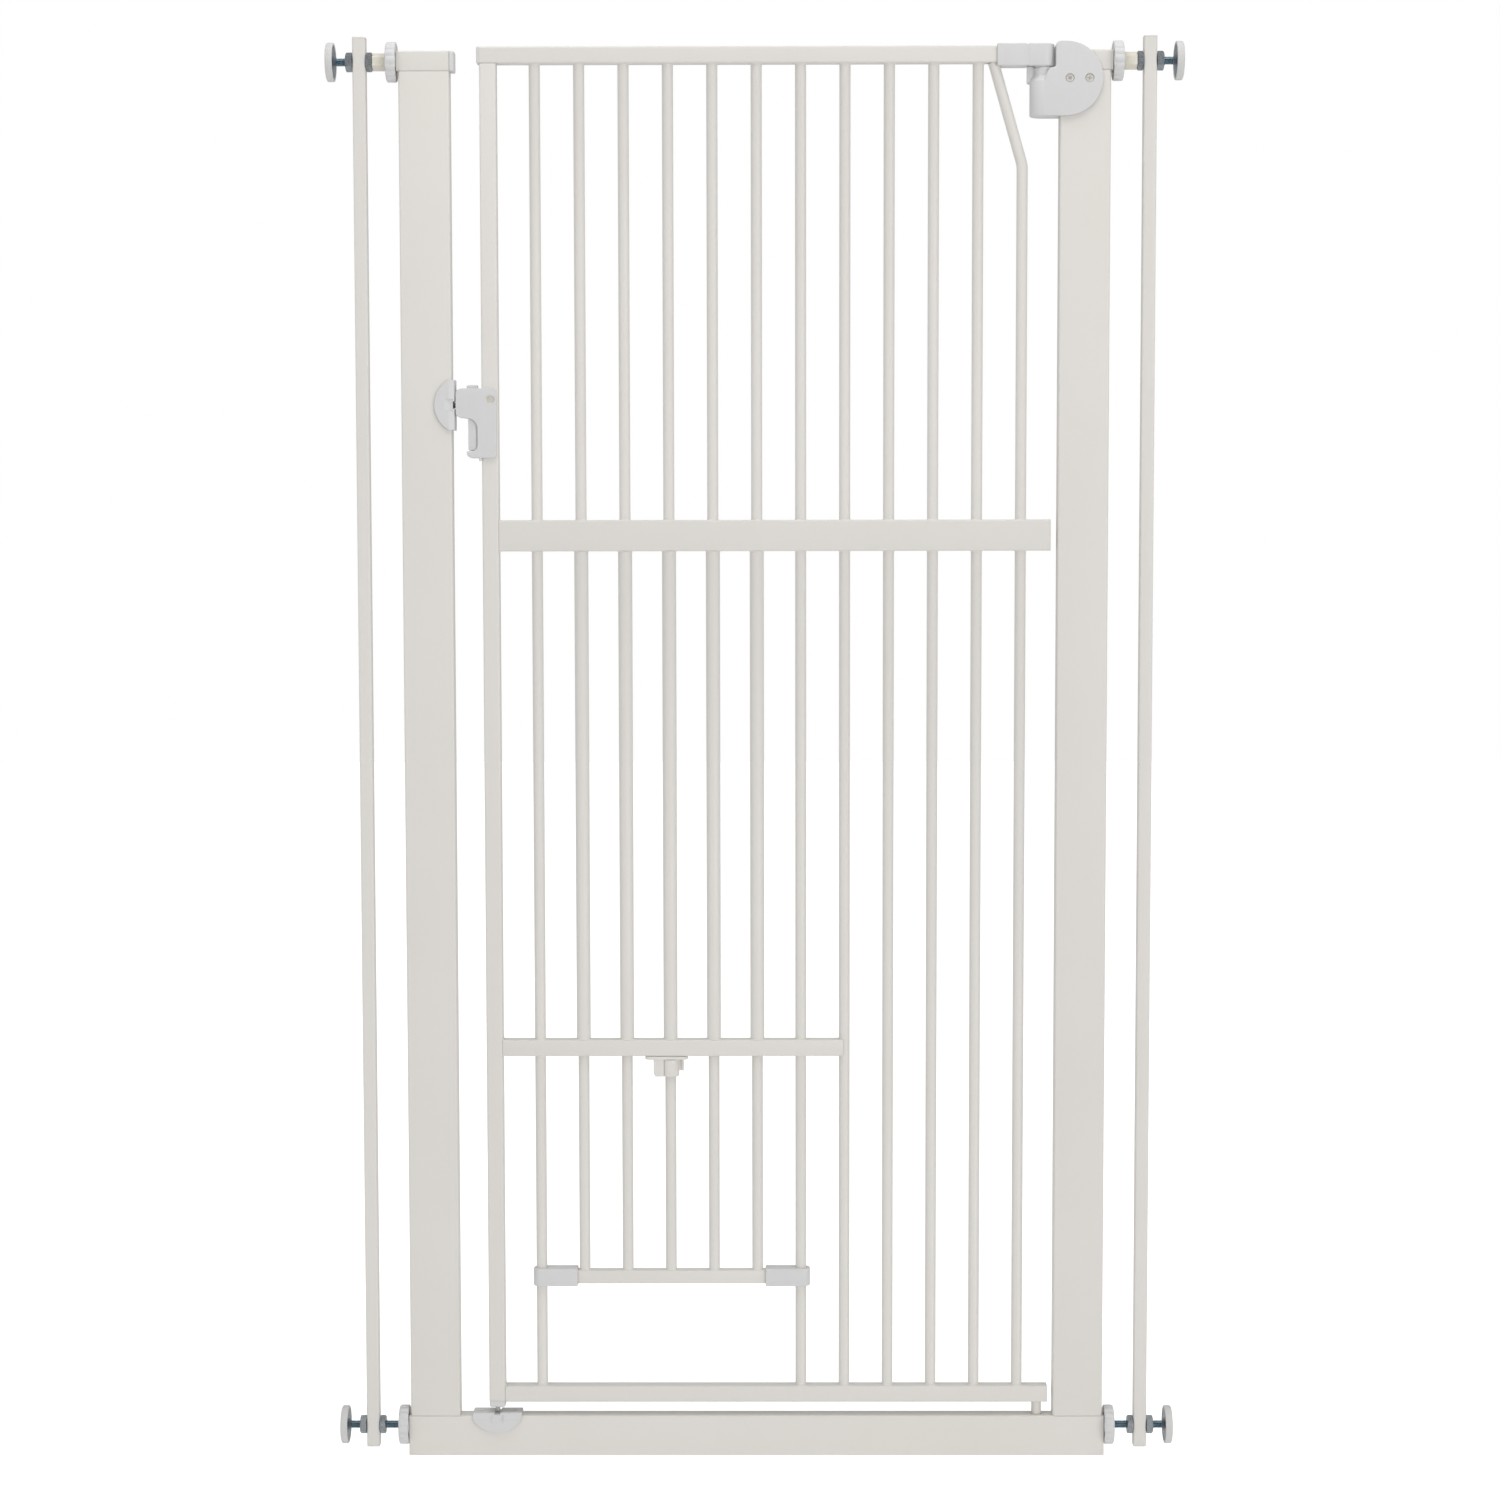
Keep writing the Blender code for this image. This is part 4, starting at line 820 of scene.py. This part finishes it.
# ---------------------------------------------------------------- plastic ends of the door tubes
# A plug closes the left end of the top rail, and another the foot of the stile, where it guides
# the lower bolt. Both are the same white polypropylene as the other caps.
plug_corner = 0.0020
plug = skin([stand("x", round_outline((top_low.y + inset, top_low.z + inset),
                                      (top_high.y - inset, top_high.z - inset), plug_corner), top_low.x - out)
             for out, inset in ((0.0, 0.0003), (0.0003, 0.0), (0.0018, 0.0), (0.0024, 0.0004),
                                (0.0027, 0.0012), (0.0028, 0.0035))])
fit(make_piece("top_rail_plug", plug, white_plastic), "door", "grey_plastic")

plug_low, plug_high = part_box("stile_plug")
foot_plug = skin([stand("z", round_outline((plug_low.x + inset, plug_low.y + inset),
                                           (plug_high.x - inset, plug_high.y - inset), plug_corner), z)
                  for z, inset in ((plug_low.z, 0.0018), (plug_low.z + 0.0004, 0.0008),
                                   (plug_low.z + 0.0012, 0.0001), (stile_low.z - 0.0005, 0.0),
                                   (stile_low.z - 0.0001, 0.0003))])
stile_foot = make_piece("stile_foot_plug", foot_plug, white_plastic)
work(stile_foot, slab("z", bolt_way, plug_low.z - past, stile_low.z + past))
fit(stile_foot, "door", "grey_plastic", "stile_plug")

# ---------------------------------------------------------------- door bars
# Eleven straight bars and one bent one, all 11 mm tube, are welded between the rails. Each weld
# is dressed to a small fillet and painted over. The five over the cat door end in guide sleeves
# that its rods slide up into.
mid_low, mid_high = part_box("mid_rail")
cat_low, cat_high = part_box("cat_rail")
bottom_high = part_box("bottom_rail")[1]


def weld_profile(radius, low, high):
    """Radius along one visible length of bar, flaring into the weld at both ends."""
    flare = ((0.0, 0.0011), (0.0002, 0.0008), (0.0006, 0.0003), (0.0012, 0.0))
    ends = [(radius + out, low + along) for along, out in flare]
    return ends + [(radius + out, high - along) for along, out in reversed(flare)]


guide = 0.0070
sunk = 0.0002
for index in range(11):
    node = "bar_%02d" % (index + 1)
    middle = middle_of(node)
    spans = [(mid_high.z - sunk, top_low.z + sunk)]
    if index == 0 or index == 6:
        spans += [(cat_high.z - sunk, mid_low.z + sunk), (bottom_high.z - sunk, cat_low.z + sunk)]
    elif index > 6:
        spans += [(bottom_high.z - sunk, mid_low.z + sunk)]
    bar = bmesh.new()
    for foot, head in spans:
        turned(weld_profile(bar_radius, foot, head), middle=middle, sides=32, bm=bar)
    if index in range(1, 6):
        foot, head = cat_high.z - 0.0001, mid_low.z + 0.0001
        turned([(guide + 0.0009, foot), (guide + 0.0004, foot + 0.0004), (guide, foot + 0.0011),
                (guide, head - 0.0011), (guide + 0.0004, head - 0.0004), (guide + 0.0009, head),
                (bar_clearance, head), (bar_clearance, foot)], middle=middle, closed_loop=True, bm=bar)
    fit(make_piece("door_bar_%02d" % (index + 1), bar, tube_paint), "door", "frame_paint", node)

last_x, last_top_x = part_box("bar_12")[1].x - bar_radius, 0.2354
knee_z, bend, rail_z = 1.2944, 0.030, 1.3934
lean = math.atan2(last_x - last_top_x, rail_z - knee_z)
path = [((last_x, mid_high.z - sunk), 0.0, 0.0011), ((last_x, mid_high.z + 0.0004), 0.0, 0.0004),
        ((last_x, mid_high.z + 0.0012), 0.0, 0.0)]
for step in range(15):
    angle = lean * step / 14
    path.append(((last_x - bend + bend * math.cos(angle),
                  knee_z - bend * math.tan(lean / 2) + bend * math.sin(angle)), angle, 0.0))
for beyond, out in ((-0.0005, 0.0), (0.0006, 0.0006)):
    path.append(((last_top_x - beyond * math.tan(lean), rail_z + beyond), lean, out))
rings = []
for (x, z), angle, out in path:
    rings.append([(x + a * math.cos(angle), b, z + a * math.sin(angle))
                  for a, b in disc_outline(bar_radius + out, sides=32)])
bent = skin(rings)
turned(weld_profile(bar_radius, bottom_high.z - sunk, mid_low.z + sunk), middle=(last_x, 0.0), sides=32,
       bm=bent)
fit(make_piece("door_bar_12", bent, tube_paint), "door", "frame_paint", "bar_12")

# ---------------------------------------------------------------- hinge arm
# The moulded arm plugs over the end of the top rail and turns on the case. It has a sleeve for
# the rail, a pivot block, a low boss that rides on the barrel, and a pin inside it.
arm_low, arm_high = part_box("hinge_arm")
block_bottom = 1.3904
seam_left, seam_right = 0.2671, 0.2687
arm_half = arm_high.y
sleeve_end = 0.2623
outline = arc((hinge_x, 0.0), arm_half, -90, 90, 24) + [(seam_right, arm_half), (seam_right, -arm_half)]
arm = make_piece("hinge_arm_block", slab("z", outline, block_bottom, arm_high.z, 0.0009, 3), white_plastic)
boss = [(0.0030, arm_low.z), (0.0040, arm_low.z + 0.001), (0.0040, boss_bottom - 0.0001),
        (boss_radius - 0.0005, boss_bottom), (boss_radius, boss_bottom + 0.0004),
        (boss_radius, block_bottom + 0.002)]
work(arm, turned(boss, middle=(hinge_x, 0.0), sides=48), "UNION")
fit(arm, "door", "grey_plastic", "hinge_arm")
outline = [(seam_left, -arm_half), (seam_left, arm_half), (arm_low.x, arm_half), (arm_low.x, -arm_half)]
sleeve = make_piece("hinge_arm_sleeve", slab("z", outline, block_bottom, arm_high.z, 0.0009, 3),
                    white_plastic)
hollow = round_outline((-door_half - 0.0002, top_low.z - 0.0002),
                       (door_half + 0.0002, top_high.z + 0.0002), tube_corner)
work(sleeve, slab("x", hollow, arm_low.x - past, sleeve_end))
bar_notch = [stand("z", disc_outline(0.0063, (last_top_x + (rail_z - z) * math.tan(lean), 0.0), 32), z)
             for z in (1.380, 1.398)]
work(sleeve, skin(bar_notch))
fit(sleeve, "door", "grey_plastic")
seam = slab("x", round_outline((-arm_half + 0.0004, block_bottom + 0.0004),
                               (arm_half - 0.0004, arm_high.z - 0.0004), 0.0008),
            seam_left - 0.001, seam_right + 0.001)
fit(make_piece("hinge_arm_seam", seam, white_plastic), "door", "grey_plastic")

# ---------------------------------------------------------------- latch handle
# The handle is a two-part moulding clipped round the stile. Its nose reaches the upper keeper, a
# hollow below it makes room for the fingers, and one countersunk screw holds it to the tube.
hand_low, hand_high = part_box("handle_body")
spine_x = -0.2749
hollow_foot = 1.0147
outline = arc((hand_high.x - 0.0045, hand_low.z + 0.0045), 0.0045, 270, 360)
outline += arc((hand_high.x - 0.0065, hand_high.z - 0.0065), 0.0065, 0, 90, 10)
outline += arc((hand_low.x + 0.0060, hand_high.z - 0.0060), 0.0060, 90, 180, 10)
outline += arc((hand_low.x + 0.0050, 1.0527), 0.0050, 180, 255)
outline += arc((spine_x - 0.0100, 1.0368), 0.0100, 90, 0, 12)
outline += [(spine_x, 1.0260), (spine_x, 1.0200), (spine_x - 0.0003, 1.0180), (-0.2763, 1.0163),
            (-0.2776, 1.0153), (-0.2795, hollow_foot), (-0.2842, 1.0144), (-0.2850, 1.0141),
            (-0.2854, 1.0134)]
outline += arc((-0.2804, hand_low.z + 0.0050), 0.0050, 176, 270)
handle = make_piece("handle_shell", slab("y", outline, hand_low.y, hand_high.y, 0.0013, 4, 50), white_plastic)
half = door_half + 0.0003
left, right = stile_x - half, stile_x + half + 0.002
space = [(left, -half), (right, -half), (right, half), (left, half)]
work(handle, slab("z", space, 1.00, 1.09))
trigger_low, trigger_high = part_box("latch_trigger")
pocket_half = trigger_high.y + 0.0004
pocket_x, pocket_top = -0.2900, 1.0470
pocket = [(pocket_x, hollow_foot), (left + 0.001, hollow_foot), (left + 0.001, pocket_top),
          (pocket_x, pocket_top)]
work(handle, slab("y", pocket, -pocket_half, pocket_half))
bolt_low, bolt_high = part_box("latch_bolt")
bolt_z = (bolt_low.z + bolt_high.z) / 2
work(handle, slab("x", disc_outline(0.0033, (0.0, bolt_z), 28), hand_low.x - past, left + 0.001))
button_low, button_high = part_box("safety_button")
well = round_outline((button_low.x - 0.0003, button_low.y - 0.0003),
                     (button_high.x + 0.0003, button_high.y + 0.0003), 0.001)
well_floor = 1.0700
work(handle, slab("z", well, well_floor, hand_high.z + past))
screw_x, screw_z = -0.2621, 1.0652
for face in (-1, 1):
    dish = turned([(0.0029, face * (hand_high.y - 0.0018)), (0.0031, face * (hand_high.y - 0.0014)),
                   (0.0046, face * (hand_high.y - 0.0004)), (0.0050, face * (hand_high.y + 0.0003))],
                  "y", (screw_x, screw_z), 40)
    work(handle, dish)
fit(handle, "door", "grey_plastic", "handle_body")
brass = finish_with("brass_plated_screw", plating,
                    {"Colour": (0.80, 0.77, 0.68, 1.0), "Tint": (0.70, 0.60, 0.42, 1.0),
                     "Tint Scale": 900.0, "Low Roughness": 0.30, "High Roughness": 0.45},
                    0.15, 0.00004, Metallic=0.4)
cross_screw("handle_screw", brass, 0.0027, 0.0009,
            Matrix.Translation((screw_x, hand_low.y + 0.0015, screw_z))
            @ Matrix.Rotation(math.pi / 2, 4, "X"),
            "door", "grey_plastic", 0.0005)
nub = turned([(0.0010, hand_low.z - 0.0030), (0.0013, hand_low.z - 0.0026), (0.0013, hand_low.z + 0.001)],
             middle=(-0.2719, -0.0094), sides=24)
fit(make_piece("handle_peg", nub, white_plastic), "door", "grey_plastic")

# ---------------------------------------------------------------- trigger, bolts and button
# Squeezing the trigger draws the head bolt back and lifts the foot bolt. The button on top has to
# be pressed first. The bolts are plated steel, the trigger and the button are moulded.
paddle = [(trigger_high.x, trigger_low.z), (trigger_high.x, trigger_high.z),
          (trigger_low.x + 0.0012, trigger_high.z), (trigger_low.x + 0.0004, trigger_high.z - 0.0005),
          (trigger_low.x, trigger_high.z - 0.0016),
          (trigger_low.x + 0.0001, 1.0370), (trigger_low.x + 0.0001, 1.0250),
          (trigger_low.x, trigger_low.z + 0.0016), (trigger_low.x + 0.0004, trigger_low.z + 0.0005),
          (trigger_low.x + 0.0012, trigger_low.z)]
trigger = make_piece("trigger_paddle", slab("y", paddle, trigger_low.y, trigger_high.y, 0.0007, 3, 50),
                     white_plastic)
fit(trigger, "latch_trigger", "grey_plastic", "latch_trigger")

steel_bolt = finish_with("plated_bolt", plating,
                         {"Colour": (0.66, 0.65, 0.63, 1.0), "Tint": (0.56, 0.48, 0.38, 1.0),
                          "Tint Scale": 420.0, "Low Roughness": 0.30, "High Roughness": 0.45},
                         0.2, 0.00004, Metallic=0.45)
tongue = turned([(0.0014, bolt_low.x), (0.0023, bolt_low.x + 0.0003), (0.0029, bolt_low.x + 0.0010),
                 (0.0030, bolt_low.x + 0.0016), (0.0030, bolt_high.x)], "x", (0.0, bolt_z), 36)
fit(make_piece("head_bolt", tongue, steel_bolt), "latch_bolt", "zinc", "latch_bolt")
foot_low, foot_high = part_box("foot_bolt")
peg = turned([(0.0010, foot_low.z), (0.0017, foot_low.z + 0.0003), (0.0022, foot_low.z + 0.0009),
              (0.0023, foot_low.z + 0.0014), (0.0023, 0.0894), (0.0018, 0.0900), (0.0013, 0.0906),
              (0.0013, foot_high.z)], middle=(stile_x, 0.0), sides=32)
fit(make_piece("foot_bolt_rod", peg, steel_bolt), "foot_bolt", "zinc", "foot_bolt")

button = skin([stand("z", round_outline((button_low.x + inset, button_low.y + inset),
                                        (button_high.x - inset, button_high.y - inset), 0.0012), z)
               for z, inset in ((button_low.z, 0.0), (button_high.z - 0.0012, 0.0),
                                (button_high.z - 0.0005, 0.0003), (button_high.z - 0.0001, 0.0009),
                                (button_high.z, 0.0018))])
button_cap = make_piece("release_button", button, white_plastic)
for rib in range(3):
    groove = disc_outline(0.00030, ((rib - 1) * 0.0017, button_high.z), 12)
    work(button_cap, slab("x", groove, button_low.x + 0.0018, button_high.x - 0.0018))
fit(button_cap, "safety_button", "cream_plastic", "safety_button")

# ---------------------------------------------------------------- cat door
# A level bar with five rods that slide up into the guide sleeves. A moulded clip on each end of
# the bar runs on the bar of the door beside the opening.
grille_low, grille_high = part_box("cat_grille")
cat_bar_z = 0.18275
cat_half = 0.00675
cat_bar = skin(tube_rings("x", (-cat_half, cat_bar_z - cat_half), (cat_half, cat_bar_z + cat_half), 0.0018,
                          grille_low.x, grille_high.x, 0.0003))
for index in range(1, 6):
    foot = cat_bar_z + cat_half - sunk
    turned([(bar_radius + 0.0009, foot), (bar_radius + 0.0005, foot + 0.0004), (bar_radius, foot + 0.0012),
            (bar_radius, grille_high.z - 0.0008), (bar_radius - 0.0005, grille_high.z)],
           middle=middle_of("bar_%02d" % (index + 1)), sides=32, bm=cat_bar)
fit(make_piece("cat_door_grille", cat_bar, tube_paint), "cat_door", "frame_paint", "cat_grille")

nose = 0.0080
mouth_depth = 0.0140
reach = cat_half + 0.0003
for word, bar_node, toward in (("left", "bar_01", 1), ("right", "bar_07", -1)):
    low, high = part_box("cat_clip_" + word)
    back, front = (low.x, high.x) if toward > 0 else (high.x, low.x)
    half = high.y
    upper_round = arc((0.0, half - nose), nose, 90, 180, 16)
    lower_round = arc((0.0, nose - half), nose, 180, 270, 16)
    outline = [(front, half)] + [(back + toward * (nose + a), b) for a, b in upper_round + lower_round] \
        + [(front, -half)]
    clip = make_piece("clip_body_" + word, slab("z", outline, low.z, high.z, 0.0011, 4, 50), white_plastic)
    work(clip, slab("z", disc_outline(bar_clearance, middle_of(bar_node), 36), low.z - past, high.z + past))
    mouth = round_outline((-reach, cat_bar_z - reach), (reach, cat_bar_z + reach), 0.0018)
    work(clip, slab("x", mouth, front - toward * mouth_depth, front + toward * past))
    fit(clip, "cat_door", "grey_plastic", "cat_clip_" + word)

# ---------------------------------------------------------------- cat door catch
# A cream housing is riveted under the cat rail, and a collar in it turns a quarter round the
# middle rod to free it. A small lug on the collar gives the finger a hold.
catch_plastic = finish_with("warm_white_catch", moulded_grain,
                            {"Colour": (0.740, 0.720, 0.680, 1.0), "Shade": (0.670, 0.645, 0.590, 1.0),
                             "Grain Scale": 1200.0, "Low Roughness": 0.30, "High Roughness": 0.42},
                            0.08, 0.00006, IOR=1.48)
house_low, house_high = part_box("cat_lock_housing")
collar_low, collar_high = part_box("cat_lock_collar")
collar_x = middle_of("bar_04")[0]
collar_radius = collar_x - collar_low.x
plate_foot = house_high.z - 0.0034
block_left, block_right, block_half = -0.1029, -0.0925, 0.007
plate_outline = round_outline((house_low.x, house_low.y), (house_high.x, house_high.y), 0.0060, 8)
housing = make_piece("catch_plate", slab("z", plate_outline, plate_foot, house_high.z, 0.0009, 3, 50),
                     catch_plastic)
block = [(block_left, house_low.z + 0.0040), (block_left + 0.0005, house_low.z + 0.0020),
         (block_left + 0.0020, house_low.z), (block_right, house_low.z),
         (block_right, house_high.z - 0.001), (block_left, house_high.z - 0.001)]
work(housing, slab("y", block, -block_half, block_half, 0.0006, 3, 25), "UNION")
turning = disc_outline(collar_radius + 0.0003, (collar_x, 0.0), 48)
work(housing, slab("z", turning, house_low.z - past, plate_foot))
rod_way = disc_outline(bar_clearance, (collar_x, 0.0), 36)
work(housing, slab("z", rod_way, house_high.z - 0.010, house_high.z + 0.010))
fit(housing, "door", "cream_plastic", "cat_lock_housing")

profile = [(bar_clearance, collar_low.z + 0.0004), (bar_clearance + 0.0004, collar_low.z),
           (collar_radius - 0.0007, collar_low.z), (collar_radius - 0.0002, collar_low.z + 0.0003),
           (collar_radius, collar_low.z + 0.0009), (collar_radius, collar_high.z),
           (bar_clearance, collar_high.z)]
collar = make_piece("catch_collar", turned(profile, middle=(collar_x, 0.0), sides=56, closed_loop=True),
                    catch_plastic)
lug_foot = 0.3932
for lug_start, lug_end, lug_half in ((collar_x + 0.0075, -0.0740, 0.0016), (-0.0745, collar_high.x, 0.0035)):
    lug = [(lug_start, lug_foot), (lug_end, lug_foot), (lug_end, collar_high.z), (lug_start, collar_high.z)]
    work(collar, slab("y", lug, -lug_half, lug_half, 0.0004, 2), "UNION")
fit(collar, "cat_lock_collar", "cream_plastic", "cat_lock_collar")

# ---------------------------------------------------------------- studio
# A pale floor and an even white room. A broad soft light stands far in front to the right and a
# weaker one to the left, with a third overhead, and the camera is straight in front of the gate.
floor_reach = 9.0
floor_outline = [(-floor_reach, -floor_reach), (floor_reach, -floor_reach), (floor_reach, floor_reach),
                 (-floor_reach, floor_reach)]
floor_mesh = slab("z", floor_outline, -0.02, 0.0)
floor_finish = finish_with("pale_floor", powder_coat,
                           {"Colour": (0.90, 0.90, 0.90, 1.0), "Shade": (0.88, 0.88, 0.88, 1.0),
                            "Peel Scale": 120.0, "Low Roughness": 0.60, "High Roughness": 0.75},
                           0.05, 0.0002, Emission_Color=(1.0, 1.0, 1.0, 1.0))
floor_tree = floor_finish.node_tree
ray = floor_tree.nodes.new("ShaderNodeLightPath")
glow = add_range(floor_tree, ray.outputs["Is Camera Ray"], 0.15, 0.66)
floor_tree.links.new(glow, floor_tree.nodes["Principled BSDF"].inputs["Emission Strength"])
make_piece("floor", floor_mesh, floor_finish)

world = bpy.data.worlds.new("white_room")
bpy.context.scene.world = world
world.use_nodes = True
room = world.node_tree
sky = room.nodes["Background"]
sky.inputs["Color"].default_value = (1.0, 1.0, 1.0, 1.0)
sky.inputs["Strength"].default_value = 0.50
seen = room.nodes.new("ShaderNodeBackground")
seen.inputs["Color"].default_value = (1.0, 1.0, 1.0, 1.0)
path_kind = room.nodes.new("ShaderNodeLightPath")
mixer = room.nodes.new("ShaderNodeMixShader")
room.links.new(path_kind.outputs["Is Camera Ray"], mixer.inputs["Fac"])
room.links.new(sky.outputs["Background"], mixer.inputs[1])
room.links.new(seen.outputs["Background"], mixer.inputs[2])
room.links.new(mixer.outputs["Shader"], room.nodes["World Output"].inputs["Surface"])

aim = Vector((0.0, 0.0, 0.72))
for name, place, width, height, power in (("right_light", (4.8, -6.4, 0.4), 4.0, 4.0, 205.0),
                                          ("left_light", (-5.0, -6.2, 0.4), 4.0, 4.0, 75.0),
                                          ("top_light", (0.0, -0.6, 3.4), 3.0, 2.4, 40.0)):
    lamp = bpy.data.lights.new(name, "AREA")
    lamp.shape = "RECTANGLE"
    lamp.size, lamp.size_y, lamp.energy = width, height, power
    holder = bpy.data.objects.new(name, lamp)
    holder.location = place
    holder.rotation_euler = (aim - Vector(place)).to_track_quat("-Z", "Y").to_euler()
    bpy.context.scene.collection.objects.link(holder)

lens = bpy.data.cameras.new("studio_camera")
lens.lens = 74.59
lens.sensor_width = 36.0
camera = bpy.data.objects.new("studio_camera", lens)
pitch, yaw, roll = math.radians(-4.265), math.radians(-0.287), math.radians(-0.0845)
look = Vector((math.sin(yaw) * math.cos(pitch), math.cos(yaw) * math.cos(pitch), math.sin(pitch)))
camera.matrix_world = Matrix.Translation((0.01008, -3.100, 0.9479)) \
    @ look.to_track_quat("-Z", "Y").to_matrix().to_4x4() @ Matrix.Rotation(roll, 4, "Z")
bpy.context.scene.collection.objects.link(camera)
bpy.context.scene.camera = camera
bpy.context.scene.view_settings.view_transform = "Standard"
